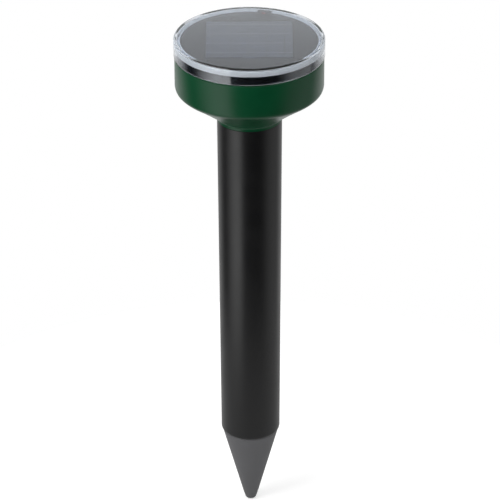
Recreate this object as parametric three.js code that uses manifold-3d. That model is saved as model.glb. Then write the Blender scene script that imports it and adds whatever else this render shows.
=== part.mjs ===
// A solar-powered ultrasonic pest repeller on a garden stake, in millimetres, +Z up.
// The origin is the point of the spike, which is pushed into the soil. -Y is the front.
// From the bottom: a plastic spike plugged into a tapered tube, and a round head on top.
// The head's funnel-shaped housing holds a loudspeaker that sounds down the tube, a circuit
// board, two rechargeable cells and a push switch. Its lid is a clear cover over a solar panel.
import * as THREE from "three";
import { mergeVertices } from "three/addons/utils/BufferGeometryUtils.js";
import Module from "manifold-3d";

const wasm = await Module();
wasm.setup();

// ---- driving dimensions ----
const GAP = 0.3; // clearance between pieces that touch
const WALL = 2; // general moulded wall

const SPIKE_LENGTH = 61.7; // the part of the spike that shows
const SPIKE_PLUG = 30; // how far the spike goes up into the tube
const TUBE_LENGTH = 251;
const FUNNEL_HEIGHT = 25; // from the neck's foot to the bowl's straight wall
const BOWL_HEIGHT = 23.7; // the bowl's straight wall
const COVER_HEIGHT = 12.7;
const CLEAR_DEPTH = 7; // from the cover's top face down to the panel plate's ledge
const DISC_RISE = 3.6; // the plate's middle stands this far above its ledge
const DISC_RADIUS = 47.5;

const COVER_RADIUS = 52.5;
const BOWL_RADIUS = 52;
const NECK_RADIUS = 23;
const TUBE_TOP_RADIUS = 22.8;
const TUBE_FOOT_RADIUS = 21.3;
const SPIKE_RADIUS = 20.3;

const SPIGOT_LENGTH = 22; // the neck's spigot inside the tube
const SPEAKER_RADIUS = 21.2;
const POCKET_RADIUS = 21.7; // the bowl's pocket for the spigot's flange and the loudspeaker
const CELL_RADIUS = 7.1;
const CELL_LENGTH = 49.5;
const PANEL_SIDE = 60;
const LID_BOSS_RADIUS = 44; // circle of the lid's screws
const SWITCH_OFFSET = 36; // switch axis behind the stake's axis

// ---- levels, worked out from the dimensions above ----
const TUBE_FOOT = SPIKE_LENGTH + GAP;
const TUBE_TOP = TUBE_FOOT + TUBE_LENGTH;
const NECK_FOOT = TUBE_TOP + GAP;
const BOWL_FOOT = NECK_FOOT + FUNNEL_HEIGHT;
const RIM = BOWL_FOOT + BOWL_HEIGHT;
const COVER_FOOT = RIM + GAP;
const COVER_TOP = COVER_FOOT + COVER_HEIGHT;
const PLATE_TOP = COVER_TOP - CLEAR_DEPTH;
const DISC_TOP = PLATE_TOP + DISC_RISE;
const SPEAKER_LEDGE = NECK_FOOT + 4.7; // top of the spigot's flange, where the loudspeaker sits
const FLANGE_FOOT = SPEAKER_LEDGE - 1.5;
const SPEAKER_SHELF = SPEAKER_LEDGE + 5;
const BOARD_FOOT = SPEAKER_SHELF + 13;
const BOARD_TOP = BOARD_FOOT + 1.6;
const TRAY_FOOT = BOARD_TOP + 7.4;
const CELL_AXIS = TRAY_FOOT + 1.6 + GAP + CELL_RADIUS;
const BOSS_TOP = RIM - 8;
const SCREW_SEAT = BOWL_FOOT + 3.7; // where the lid screws' heads bear

const part = new THREE.Group();
part.name = "solar_stake_repeller";

// ---- materials ----
const plastic = (color, roughness = 0.5) => new THREE.MeshStandardMaterial({ color, roughness });
const metal = (color, roughness = 0.35) =>
  new THREE.MeshStandardMaterial({ color, roughness, metalness: 1 });
const material = {
  spike: plastic(0x4a4a4c, 0.6),
  tube: plastic(0x1f1f21, 0.45),
  green: plastic(0x0d4a2e, 0.35),
  black: plastic(0x101214, 0.5),
  clear: new THREE.MeshStandardMaterial({
    color: 0xe8eef2,
    roughness: 0.08,
    transparent: true,
    opacity: 0.35,
  }),
  panel: plastic(0x141a2e, 0.15),
  rubber: plastic(0x17181a, 0.8),
  board: plastic(0x1f5a34, 0.5),
  ferrite: plastic(0x2c2c2e, 0.6),
  paper: plastic(0x1c1c1c, 0.9),
  cell: plastic(0x2f7d46, 0.4),
  led: plastic(0xb81e1e, 0.2),
  connector: plastic(0xe6e2d6, 0.5),
  red: plastic(0xa81818, 0.5),
  blackLead: plastic(0x151515, 0.5),
  steel: metal(0xb8babd),
  copper: metal(0xb87333),
};

// ---- shaping helpers ----

// A solid of revolution about Z from [radius, height] points, closed on the axis or on itself.
function turned(points, segments = 40) {
  const closed = points[0][0] > 0;
  const ring = closed ? [...points, points[0]] : points;
  let area = 0;
  ring.forEach(([r, z], i) => {
    const [r2, z2] = ring[(i + 1) % ring.length];
    area += r * z2 - r2 * z;
  });
  const ordered = area > 0 ? ring : [...ring].reverse();
  const profile = ordered.map(([r, z]) => new THREE.Vector2(r, z));
  return new THREE.LatheGeometry(profile, segments).rotateX(Math.PI / 2);
}

// A ring between two radii and two heights.
function ring(inner, outer, low, high, segments = 40) {
  const corners = [
    [inner, low],
    [outer, low],
    [outer, high],
    [inner, high],
  ];
  return turned(corners, segments);
}

// An upright rod between two heights, with its axis at x, y.
function rod(radius, low, high, x = 0, y = 0, segments = 16) {
  return new THREE.CylinderGeometry(radius, radius, high - low, segments)
    .rotateX(Math.PI / 2)
    .translate(x, y, (low + high) / 2);
}

// A box from its lowest to its highest corner.
function block([x0, y0, z0], [x1, y1, z1]) {
  return new THREE.BoxGeometry(x1 - x0, y1 - y0, z1 - z0).translate(
    (x0 + x1) / 2,
    (y0 + y1) / 2,
    (z0 + z1) / 2,
  );
}

// A round wire through points, made of straight steps.
function wire(points, radius = 0.7, steps = 8, sides = 5) {
  const path = new THREE.CatmullRomCurve3(points.map((p) => new THREE.Vector3(...p)));
  const corners = Array.from({ length: sides }, (_, i) => {
    const turn = (i / sides) * 2 * Math.PI;
    return new THREE.Vector2(radius * Math.cos(turn), radius * Math.sin(turn));
  });
  return new THREE.ExtrudeGeometry(new THREE.Shape(corners), { extrudePath: path, steps });
}

// A closed geometry as a solid that can be joined and cut.
function solid(geometry) {
  const bare = geometry.clone();
  bare.deleteAttribute("normal");
  bare.deleteAttribute("uv");
  const merged = mergeVertices(bare, 1e-4);
  return new wasm.Manifold(
    new wasm.Mesh({
      numProp: 3,
      vertProperties: merged.attributes.position.array,
      triVerts: new Uint32Array(merged.index.array),
    }),
  );
}

// A solid turned back into a geometry.
function geometryOf(made) {
  const { vertProperties, triVerts } = made.getMesh();
  return new THREE.BufferGeometry()
    .setAttribute("position", new THREE.BufferAttribute(vertProperties, 3))
    .setIndex(new THREE.BufferAttribute(triVerts, 1));
}

const join = (first, ...rest) => rest.reduce((all, g) => all.add(solid(g)), first);
const cut = (first, ...rest) => rest.reduce((all, g) => all.subtract(solid(g)), first);

function add(name, geometry, finish) {
  const mesh = new THREE.Mesh(geometry, finish);
  mesh.name = name;
  part.add(mesh);
  return mesh;
}

// The four points at plus and minus x, plus and minus y.
const corners = (x, y) => [
  [x, y],
  [-x, y],
  [-x, -y],
  [x, -y],
];

// A pan-head screw on the axis x, y: its head's bearing face is at seat and its shank runs
// to end, up or down.
function screw(name, x, y, seat, end, shank, head, thickness) {
  const up = Math.sign(end - seat);
  const profile = [
    [0, seat - up * thickness],
    [head * 0.7, seat - up * thickness],
    [head, seat - up * thickness * 0.5],
    [head, seat],
    [shank, seat],
    [shank, end - up * shank],
    [0, end],
  ];
  add(name, turned(profile, 8).translate(x, y, 0), material.steel);
}

// ---- spike ----
function spike() {
  const tipRadius = 4;
  const plug = TUBE_FOOT_RADIUS - WALL - GAP;
  const top = SPIKE_LENGTH + SPIKE_PLUG;
  const profile = [
    [0, 0],
    [tipRadius * 0.5, 0.5],
    [tipRadius * 0.86, 1.9],
    [tipRadius * 1.1, 4.2],
    [SPIKE_RADIUS, SPIKE_LENGTH - 0.8],
    [SPIKE_RADIUS - 0.5, SPIKE_LENGTH],
    [plug, SPIKE_LENGTH],
    [plug, top - 2],
    [plug - 1, top],
    [plug - 1 - WALL, top],
    [plug - 1 - WALL, SPIKE_LENGTH - 10],
    [4, SPIKE_LENGTH - 34],
    [0, SPIKE_LENGTH - 34],
  ];
  const webReach = plug - 2;
  const web = WALL / 2;
  const shell = solid(turned(profile, 32));
  const webs = [
    block([-webReach, -web, SPIKE_LENGTH - 4], [webReach, web, top - 4]),
    block([-web, -webReach, SPIKE_LENGTH - 4], [web, webReach, top - 4]),
  ];
  add("spike", geometryOf(join(shell, ...webs)), material.spike);
}

// ---- tube ----
function tube() {
  const lip = 1.4;
  const profile = [
    [TUBE_FOOT_RADIUS - lip * 0.8, TUBE_FOOT],
    [TUBE_FOOT_RADIUS - lip * 0.25, TUBE_FOOT + lip * 0.4],
    [TUBE_FOOT_RADIUS, TUBE_FOOT + lip],
    [TUBE_TOP_RADIUS, TUBE_TOP],
    [TUBE_TOP_RADIUS - WALL, TUBE_TOP],
    [TUBE_FOOT_RADIUS - WALL, TUBE_FOOT],
  ];
  add("stake_tube", turned(profile), material.tube);
}

// ---- head housing ----
const SPIGOT_RADIUS = TUBE_TOP_RADIUS - WALL - 0.45;
const SPIGOT_BORE = SPIGOT_RADIUS - 3;
const SPIGOT_FOOT = NECK_FOOT - SPIGOT_LENGTH;
const SEAL_GROOVE = { radius: SPIGOT_RADIUS - 1.5, low: NECK_FOOT - 13.6, high: NECK_FOOT - 11.4 };
const TRAY_POSTS = corners(34.5, 12);
const BOARD_POSTS = corners(23, 18);
const LID_BOSSES = corners(LID_BOSS_RADIUS * Math.SQRT1_2, LID_BOSS_RADIUS * Math.SQRT1_2);
const CLAMP_SCREWS = [90, 210, 330].map((degrees) => {
  const turn = (degrees * Math.PI) / 180;
  return [23.9 * Math.cos(turn), 23.9 * Math.sin(turn)];
});

// The funnel's outer line, from the neck's foot up to the bowl's straight wall.
const FUNNEL = [
  [NECK_RADIUS, NECK_FOOT],
  [NECK_RADIUS + 0.5, NECK_FOOT + 2.7],
  [28.6, NECK_FOOT + 6.8],
  [36, NECK_FOOT + 12.4],
  [43.2, NECK_FOOT + 17.6],
  [49, NECK_FOOT + 21.6],
  [51.3, NECK_FOOT + 24],
  [BOWL_RADIUS, BOWL_FOOT + 1.6],
];

// The sleeve that plugs the head into the tube. Its flange is clamped under the loudspeaker.
function spigot() {
  const profile = [
    [SPIGOT_BORE, SPIGOT_FOOT],
    [SPIGOT_RADIUS - 0.8, SPIGOT_FOOT],
    [SPIGOT_RADIUS, SPIGOT_FOOT + 1],
    [SPIGOT_RADIUS, SEAL_GROOVE.low],
    [SEAL_GROOVE.radius, SEAL_GROOVE.low],
    [SEAL_GROOVE.radius, SEAL_GROOVE.high],
    [SPIGOT_RADIUS, SEAL_GROOVE.high],
    [SPIGOT_RADIUS, FLANGE_FOOT],
    [POCKET_RADIUS - GAP, FLANGE_FOOT],
    [POCKET_RADIUS - GAP, SPEAKER_LEDGE],
    [SPIGOT_BORE, SPEAKER_LEDGE],
  ];
  add("neck_spigot", turned(profile, 32), material.black);
  const inner = SEAL_GROOVE.radius + GAP;
  const outer = SPIGOT_RADIUS + 0.1;
  const seal = ring(inner, outer, SEAL_GROOVE.low + GAP, SEAL_GROOVE.high - GAP, 28);
  add("neck_seal", seal, material.rubber);
}

function housing() {
  const outside = [
    [0, NECK_FOOT],
    ...FUNNEL,
    [BOWL_RADIUS, RIM - 0.8],
    [BOWL_RADIUS - 0.8, RIM],
    [0, RIM],
  ];
  const inside = [
    [0, NECK_FOOT - 1],
    [SPIGOT_RADIUS + GAP, NECK_FOOT - 1],
    [SPIGOT_RADIUS + GAP, FLANGE_FOOT - GAP],
    [POCKET_RADIUS, FLANGE_FOOT - GAP],
    [POCKET_RADIUS, SPEAKER_SHELF],
    [26, SPEAKER_SHELF],
    [34.4, NECK_FOOT + 14.4],
    [41.8, NECK_FOOT + 19.8],
    [47.2, NECK_FOOT + 23.8],
    [BOWL_RADIUS - 2.5, BOWL_FOOT + 2.6],
    [BOWL_RADIUS - 2.5, RIM + 1],
    [0, RIM + 1],
  ];
  const body = solid(turned(outside));
  const floor = NECK_FOOT + 6;
  const posts = [
    ...LID_BOSSES.map(([x, y]) => rod(4.2, floor, BOSS_TOP, x, y, 14)),
    ...TRAY_POSTS.map(([x, y]) => rod(3, floor, TRAY_FOOT - GAP, x, y, 10)),
    ...BOARD_POSTS.map(([x, y]) => rod(2.8, floor, BOARD_FOOT - GAP, x, y, 10)),
  ];
  const turretFoot = SPEAKER_LEDGE + 2;
  const turret = rod(8.4, turretFoot, BOWL_FOOT - 2, 0, SWITCH_OFFSET, 24);
  const inner = posts.map(solid).reduce((all, one) => all.add(one));
  const shell = cut(body, turned(inside)).add(inner.intersect(body)).add(solid(turret));
  const holes = [
    ...LID_BOSSES.map(([x, y]) => rod(3.3, floor - 4, SCREW_SEAT, x, y, 12)),
    ...LID_BOSSES.map(([x, y]) => rod(1.7, floor, BOSS_TOP + 1, x, y, 8)),
    ...TRAY_POSTS.map(([x, y]) => rod(1.4, TRAY_FOOT - 8, TRAY_FOOT, x, y, 8)),
    ...BOARD_POSTS.map(([x, y]) => rod(1.3, BOARD_FOOT - 7, BOARD_FOOT, x, y, 8)),
    ...CLAMP_SCREWS.map(([x, y]) => rod(1.2, SPEAKER_SHELF - 3.4, SPEAKER_SHELF + 1, x, y, 6)),
    rod(6.7, turretFoot + 2, BOWL_FOOT, 0, SWITCH_OFFSET, 20),
    rod(5.4, turretFoot - 1, turretFoot + 3, 0, SWITCH_OFFSET, 20),
  ];
  add("head_housing", geometryOf(cut(shell, ...holes)), material.green);
  return turretFoot;
}

// ---- loudspeaker, facing down the tube ----
function loudspeaker() {
  const low = SPEAKER_LEDGE + GAP;
  const flange = low + 1.3;
  const back = low + 7.3;
  const frame = [
    [SPEAKER_RADIUS, low],
    [SPEAKER_RADIUS, flange],
    [18.6, flange],
    [12, back],
    [9.2, back],
    [9.2, back - 1],
    [11.4, back - 1],
    [17.4, low + 0.8],
    [17.4, low],
  ];
  add("speaker_frame", turned(frame, 28), material.steel);
  const magnetFoot = back + GAP;
  const magnetTop = magnetFoot + 5;
  add("speaker_magnet", ring(4.9, 11, magnetFoot, magnetTop, 20), material.ferrite);
  const yokeFoot = magnetTop + GAP;
  const yoke = [
    [0, magnetFoot],
    [3.5, magnetFoot],
    [3.5, yokeFoot],
    [11, yokeFoot],
    [11, yokeFoot + 1.5],
    [0, yokeFoot + 1.5],
  ];
  add("speaker_yoke", turned(yoke, 20), material.steel);
  const cone = [
    [0, low + 2.2],
    [2.6, low + 2.6],
    [4.2, low + 3.8],
    [14.4, low + 0.5],
    [16, low + 0.5],
    [16, low + 1],
    [14.6, low + 1],
    [4.4, low + 4.4],
    [3.6, low + 4.4],
    [2.3, low + 3.1],
    [0, low + 2.7],
  ];
  add("speaker_cone", turned(cone, 24), material.paper);
  add("voice_coil", ring(3.95, 4.4, low + 4.7, low + 9.6, 20), material.copper);
  const foot = SPEAKER_SHELF + GAP;
  const clamp = [
    [15.4, foot + 0.6],
    [19, foot],
    [19, flange + GAP],
    [21, flange + GAP],
    [21, foot],
    [25.8, foot],
    [25.8, foot + 1.5],
    [15.4, foot + 1.5],
  ];
  const holes = CLAMP_SCREWS.map(([x, y]) => rod(1.15, foot - 1, foot + 2, x, y, 8));
  add("speaker_clamp", geometryOf(cut(solid(turned(clamp, 28)), ...holes)), material.black);
  CLAMP_SCREWS.forEach(([x, y], i) =>
    screw(`clamp_screw_${i + 1}`, x, y, foot + 1.5 + GAP, foot - 3, 0.8, 1.7, 1.1),
  );
}

// ---- circuit board ----
function circuitBoard() {
  const outline = block([-27, -22, BOARD_FOOT], [27, 26.8, BOARD_TOP]);
  const holes = BOARD_POSTS.map(([x, y]) => rod(1.4, BOARD_FOOT - 1, BOARD_TOP + 1, x, y, 10));
  add("circuit_board", geometryOf(cut(solid(outline), ...holes)), material.board);
  BOARD_POSTS.forEach(([x, y], i) =>
    screw(`board_screw_${i + 1}`, x, y, BOARD_TOP + GAP, BOARD_FOOT - 5, 1, 2.3, 1.5),
  );
  const top = BOARD_TOP + GAP;
  add("driver_chip", block([-5, -3, top], [5, 3, top + 1.6]), material.black);
  add("filter_capacitor", rod(3.1, top, top + 6.2, 14, -8, 20), material.ferrite);
  add("boost_coil", rod(4, top, top + 4.8, -14, -8, 20), material.copper);
}

// ---- battery tray, cells and contacts ----
const CELL_SPACING = 8.4; // each cell's axis from the tray's middle
const BAY_END = CELL_LENGTH / 2 + 4.1; // the bays' end walls
const PLATE_GAUGE = 0.4; // thickness of the contact plates
const CELL_SHIFT = BAY_END - PLATE_GAUGE - 2 * GAP - CELL_LENGTH / 2; // towards the raised end
function batteryTray() {
  const end = BAY_END;
  const side = CELL_SPACING + CELL_RADIUS + 0.5;
  const top = CELL_AXIS + 3.4;
  const wall = 1.6;
  const outline = block([-end - wall, -side - wall, TRAY_FOOT], [end + wall, side + wall, top]);
  const ears = TRAY_POSTS.map(([x, y]) => rod(3.6, TRAY_FOOT, TRAY_FOOT + 1.6, x, y, 16));
  const arms = [-1, 1].map((s) =>
    block([-36, s * 12 - 2, TRAY_FOOT], [36, s * 12 + 2, TRAY_FOOT + 1.6]),
  );
  const floor = TRAY_FOOT + wall;
  const bays = [-1, 1].map((s) => {
    const near = s * 0.5;
    const far = s * side;
    return block([-end, Math.min(near, far), floor], [end, Math.max(near, far), top + 1]);
  });
  const slot = block([end - 1.2, -2, floor], [end, 2, top + 1]);
  const holes = TRAY_POSTS.map(([x, y]) => rod(1.5, TRAY_FOOT - 1, TRAY_FOOT + 3, x, y, 10));
  const made = cut(join(solid(outline), ...ears, ...arms), ...bays, slot, ...holes);
  add("battery_tray", geometryOf(made), material.black);
  TRAY_POSTS.forEach(([x, y], i) =>
    screw(`tray_screw_${i + 1}`, x, y, TRAY_FOOT + 1.6 + GAP, TRAY_FOOT - 6, 1.1, 2.5, 1.6),
  );
  [-1, 1].forEach((s, i) => {
    cell(`cell_${i + 1}`, s);
    spring(`cell_spring_${i + 1}`, s);
  });
  contactPlates();
}

// A cylindrical cell whose raised end points to +X for s = -1 and to -X for s = 1.
function cell(name, s) {
  const half = CELL_LENGTH / 2;
  const profile = [
    [0, -half],
    [CELL_RADIUS - 0.6, -half],
    [CELL_RADIUS, -half + 0.6],
    [CELL_RADIUS, half - 2.2],
    [CELL_RADIUS - 0.7, half - 1.4],
    [2.7, half - 1.4],
    [2.7, half],
    [0, half],
  ];
  const made = turned(profile, 20).rotateY((-s * Math.PI) / 2);
  add(name, made.translate(-s * CELL_SHIFT, s * CELL_SPACING, CELL_AXIS), material.cell);
}

// The conical wire spring between a cell's flat end and its contact plate.
function spring(name, s) {
  const turns = 2.5;
  const wireRadius = 0.4;
  const start = BAY_END - PLATE_GAUGE - 2 * GAP - wireRadius;
  const reach = start - (CELL_LENGTH / 2 - CELL_SHIFT + GAP + wireRadius);
  const points = Array.from({ length: 21 }, (_, i) => {
    const share = i / 20;
    const radius = 4.4 - 1.8 * share;
    const turn = share * turns * 2 * Math.PI;
    const y = s * CELL_SPACING + radius * Math.cos(turn);
    return [s * (start - share * reach), y, CELL_AXIS + radius * Math.sin(turn)];
  });
  add(name, wire(points, wireRadius, 26, 4), material.steel);
}

// Contact plates: one long plate at +X joins the two cells, where the raised end of one and
// the spring of the other touch it, and two short ones at -X carry the leads.
function contactPlates() {
  const low = CELL_AXIS - 4;
  const high = CELL_AXIS + 3;
  const reach = CELL_SPACING + 5;
  const near = BAY_END - GAP - PLATE_GAUGE;
  const far = BAY_END - GAP;
  add("bridge_plate", block([near, -reach, low], [far, reach, high]), material.steel);
  add("contact_plate_1", block([-far, -reach, low], [-near, -1.2, high]), material.steel);
  add("contact_plate_2", block([-far, 1.2, low], [-near, reach, high]), material.steel);
}

// ---- power switch on the housing's underside ----
function powerSwitch(turretFoot) {
  const seat = turretFoot + 6.2;
  const box = block([-4, SWITCH_OFFSET - 4, seat], [4, SWITCH_OFFSET + 4, seat + 6]);
  const well = rod(2.2, seat - 1, seat + 2.4, 0, SWITCH_OFFSET, 12);
  add("power_switch", geometryOf(cut(solid(box), well)), material.ferrite);
  const capTop = turretFoot + 2 + GAP;
  const cap = [
    [0, turretFoot - 2.6],
    [3.6, turretFoot - 2.4],
    [4.9, turretFoot - 1.2],
    [4.9, capTop],
    [6.1, capTop],
    [6.1, capTop + 1],
    [0, capTop + 1],
  ];
  add("switch_cap", turned(cap, 20).translate(0, SWITCH_OFFSET, 0), material.rubber);
  add("switch_plunger", rod(1.6, capTop + 1 + GAP, seat + 0.6, 0, SWITCH_OFFSET, 12), material.connector);
}

// ---- lid: panel plate, seal, solar panel, reflector, clear cover and indicator ----
const LED_PLACE = { radius: 44.5, degrees: 77 }; // near the back of the plate
function lid() {
  const underside = PLATE_TOP - 2.4; // under the plate's edge
  const ceiling = DISC_TOP - 2.4; // under its raised middle
  const skirt = RIM - 4;
  const groove = { radius: 48, low: skirt + 1.1, high: skirt + 2.7 };
  const plate = [
    [0, DISC_TOP],
    [DISC_RADIUS - 0.4, DISC_TOP],
    [DISC_RADIUS, DISC_TOP - 0.4],
    [DISC_RADIUS, PLATE_TOP],
    [COVER_RADIUS - WALL - GAP - 0.3, PLATE_TOP],
    [COVER_RADIUS - WALL - GAP, PLATE_TOP - 0.3],
    [COVER_RADIUS - WALL - GAP, RIM + GAP],
    [49.2, RIM + GAP],
    [49.2, groove.high],
    [groove.radius, groove.high],
    [groove.radius, groove.low],
    [49.2, groove.low],
    [49.2, skirt],
    [46.4, skirt],
    [46.4, underside],
    [39, underside],
    [39, ceiling],
    [0, ceiling],
  ];
  const bosses = LID_BOSSES.map(([x, y]) => rod(3.8, BOSS_TOP + GAP, underside + 1, x, y));
  const turn = (LED_PLACE.degrees * Math.PI) / 180;
  const led = [LED_PLACE.radius * Math.cos(turn), LED_PLACE.radius * Math.sin(turn)];
  const blockTop = COVER_TOP - WALL - 0.6;
  // A box at the lamp's bearing, between two radii and two heights.
  const atLamp = (width, near, far, low, high) =>
    block([-width / 2, near, low], [width / 2, far, high]).rotateZ(turn - Math.PI / 2);
  const hump = atLamp(10, 42, 49.6, PLATE_TOP - 0.5, blockTop);
  const half = PANEL_SIDE / 2;
  const recess = half + GAP + 0.2;
  const cuts = [
    block([-recess, -recess, DISC_TOP - 1.2], [recess, recess, DISC_TOP + 1]),
    ...LID_BOSSES.map(([x, y]) => rod(1.65, BOSS_TOP, RIM + 0.5, x, y, 12)),
    rod(1.8, underside - 1, blockTop + 1, led[0], led[1], 14),
  ];
  const made = cut(join(solid(turned(plate)), ...bosses, hump), ...cuts);
  add("panel_plate", geometryOf(made), material.black);
  add("lid_seal", ring(groove.radius + GAP, 49.2, groove.low + 0.2, groove.high - 0.2, 32), material.rubber);
  const bed = DISC_TOP - 1.2 + GAP;
  add("solar_panel", block([-half, -half, bed], [half, half, bed + 1.3]), material.panel);
  const reflector = [
    [DISC_RADIUS + GAP, PLATE_TOP + GAP],
    [COVER_RADIUS - WALL - 2 * GAP, PLATE_TOP + GAP],
    [COVER_RADIUS - WALL - 2 * GAP, PLATE_TOP + 1],
    [DISC_RADIUS + 1, DISC_TOP],
    [DISC_RADIUS + GAP, DISC_TOP],
  ];
  const gap = atLamp(10 + 2 * GAP, 42, 52, PLATE_TOP, COVER_TOP);
  add("reflector_ring", geometryOf(cut(solid(turned(reflector)), gap)), material.connector);
  const lamp = [
    [0, PLATE_TOP - 1.6],
    [1.5, PLATE_TOP - 1.6],
    [1.5, blockTop - 0.6],
    [1.1, blockTop - 0.1],
    [0, blockTop + 0.1],
  ];
  add("indicator_led", turned(lamp, 14).translate(led[0], led[1], 0), material.led);
  const cover = [
    [0, COVER_TOP],
    [COVER_RADIUS - 1, COVER_TOP],
    [COVER_RADIUS - 0.3, COVER_TOP - 0.3],
    [COVER_RADIUS, COVER_TOP - 1],
    [COVER_RADIUS, COVER_FOOT],
    [COVER_RADIUS - WALL, COVER_FOOT],
    [COVER_RADIUS - WALL, COVER_TOP - 2.2],
    [0, COVER_TOP - 2.2],
  ];
  add("clear_cover", turned(cover), material.clear);
  LID_BOSSES.forEach(([x, y], i) =>
    screw(`lid_screw_${i + 1}`, x, y, SCREW_SEAT - GAP, RIM - 1.5, 1.35, 2.8, 2.1),
  );
  return { ceiling, underside, led };
}

// ---- plug and socket between the lid's leads and the board, and all leads ----
function leads({ ceiling, underside, led }) {
  const plugY = 24;
  const socketTop = BOARD_TOP + GAP + 6.4;
  const socket = block([-4.6, plugY - 3, BOARD_TOP + GAP], [4.6, plugY + 3, socketTop]);
  const mouth = block([-3.4, plugY - 1.8, socketTop - 4], [3.4, plugY + 1.8, socketTop + 1]);
  add("board_socket", geometryOf(cut(solid(socket), mouth)), material.connector);
  const nose = block([-3, plugY - 1.4, socketTop - 3.6], [3, plugY + 1.4, socketTop + 1]);
  const grip = block([-3.9, plugY - 2.3, socketTop + GAP], [3.9, plugY + 2.3, socketTop + 5]);
  add("lid_plug", geometryOf(join(solid(nose), grip)), material.connector);
  const plugTop = socketTop + 5 + GAP;
  const high = ceiling - GAP;
  const edge = underside - GAP;
  const drop = (x, lean) => [
    [x, plugY, plugTop],
    [x, plugY, plugTop + 4],
    [x + lean, plugY + 2, plugTop + 8],
    [x + lean, plugY, high - 2],
    [x + lean, plugY, high],
  ];
  add("solar_lead_red", wire(drop(-2.4, -3)), material.red);
  add("solar_lead_black", wire(drop(2.4, 3)), material.blackLead);
  const ledLead = [
    [0, plugY, plugTop],
    [0, plugY, plugTop + 4],
    [3, plugY + 8, plugTop + 7],
    [led[0], led[1] - 5, edge - 2.4],
    [led[0], led[1], edge - 1.2],
    [led[0], led[1], PLATE_TOP - 1.6 - GAP],
  ];
  add("led_lead", wire(ledLead, 0.7, 12), material.blackLead);
  const speakerTop = SPEAKER_LEDGE + GAP + 7.3;
  const boardUnder = BOARD_FOOT - GAP;
  [-1, 1].forEach((s) => {
    const run = [
      [s * 2, -13.1, speakerTop + 0.3],
      [s * 2, -13.1, speakerTop + 3],
      [s * 2.5, -15, boardUnder - 2],
      [s * 2.5, -15, boardUnder],
    ];
    const name = s < 0 ? "speaker_lead_red" : "speaker_lead_black";
    add(name, wire(run), s < 0 ? material.red : material.blackLead);
  });
  const trayEnd = -CELL_LENGTH / 2 - 4.1 - 1.6 - GAP;
  [-1, 1].forEach((s) => {
    const run = [
      [trayEnd - 0.7, s * 4, CELL_AXIS + 1],
      [trayEnd - 1.6, s * 4, CELL_AXIS - 5],
      [trayEnd - 1.6, s * 4, TRAY_FOOT - 2],
      [-25, s * 4, BOARD_TOP + 3.4],
      [-23, s * 4, BOARD_TOP + GAP],
    ];
    const name = s < 0 ? "battery_lead_red" : "battery_lead_black";
    add(name, wire(run, 0.7, 10), s < 0 ? material.red : material.blackLead);
  });
  const switchTop = SPEAKER_LEDGE + 2 + 12.2 + GAP;
  const switchRun = [
    [2, SWITCH_OFFSET, switchTop],
    [2, SWITCH_OFFSET, switchTop + 3],
    [7, SWITCH_OFFSET - 5, BOARD_TOP + 4],
    [9, 27, BOARD_TOP + 3],
    [9, 25.5, BOARD_TOP + GAP],
  ];
  add("switch_lead", wire(switchRun, 0.7, 10), material.blackLead);
}

spike();
tube();
spigot();
const turretFoot = housing();
loudspeaker();
circuitBoard();
batteryTray();
powerSwitch(turretFoot);
leads(lid());

export default part;
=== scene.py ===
# %% [markdown]
# # A solar garden stake that drives pests away with sound
# The object is a round plastic head on a long tapered tube that ends in a spike. A solar panel
# lies under a clear cover on top, and a loudspeaker in the head sounds down the tube.
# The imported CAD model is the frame: levels and main radii are read from the boxes of its nodes.
# A box can't tell a groove's depth, a wall or a corner, so those sizes are given here in
# millimetres and repeat the drawing that the CAD model was made from.

# %% Load the frame and keep its box
import math

import bmesh
import bpy
import numpy as np
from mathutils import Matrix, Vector


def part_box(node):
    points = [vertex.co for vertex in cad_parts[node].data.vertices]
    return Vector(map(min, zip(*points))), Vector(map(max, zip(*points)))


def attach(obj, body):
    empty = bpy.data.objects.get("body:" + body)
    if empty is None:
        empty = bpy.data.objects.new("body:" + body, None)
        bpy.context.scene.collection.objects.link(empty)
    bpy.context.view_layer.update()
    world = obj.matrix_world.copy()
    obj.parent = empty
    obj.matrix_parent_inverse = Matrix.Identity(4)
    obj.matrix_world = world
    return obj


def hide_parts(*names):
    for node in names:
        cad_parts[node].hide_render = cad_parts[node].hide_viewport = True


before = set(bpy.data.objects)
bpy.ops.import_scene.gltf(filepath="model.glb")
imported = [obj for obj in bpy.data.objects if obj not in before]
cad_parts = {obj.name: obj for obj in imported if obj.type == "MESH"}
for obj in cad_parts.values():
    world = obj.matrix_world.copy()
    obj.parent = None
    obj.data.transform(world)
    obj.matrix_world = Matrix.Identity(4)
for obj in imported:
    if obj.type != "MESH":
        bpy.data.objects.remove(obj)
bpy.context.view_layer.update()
MM = 0.001


# %% [markdown]
# The levels and radii that many pieces share are worked out once, in millimetres, so that the
# profiles below read like a drawing of the part.

# %% Read the levels and radii that the pieces share
def low(node):
    """The lowest corner of a CAD node, in millimetres."""
    return np.array(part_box(node)[0]) / MM


def high(node):
    """The highest corner of a CAD node, in millimetres."""
    return np.array(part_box(node)[1]) / MM


TUBE_FOOT, TUBE_TOP = low("stake_tube")[2], high("stake_tube")[2]
TUBE_TOP_R = high("stake_tube")[0]
SPIKE_R = high("spike")[0]
SPIKE_TOP = TUBE_FOOT - 0.3
PLUG_TOP = high("spike")[2]
NECK_FOOT = TUBE_TOP + 0.3
RIM = high("head_housing")[2]
BOWL_R = high("head_housing")[0]
COVER_FOOT, COVER_TOP = low("clear_cover")[2], high("clear_cover")[2]
COVER_R = high("clear_cover")[0]
PLATE_TOP = COVER_TOP - 7
DISC_TOP = PLATE_TOP + 3.6
DISC_R = 47.5
print("tube", TUBE_FOOT, "to", TUBE_TOP, "rim", RIM, "cover", COVER_FOOT, "to", COVER_TOP)


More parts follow.
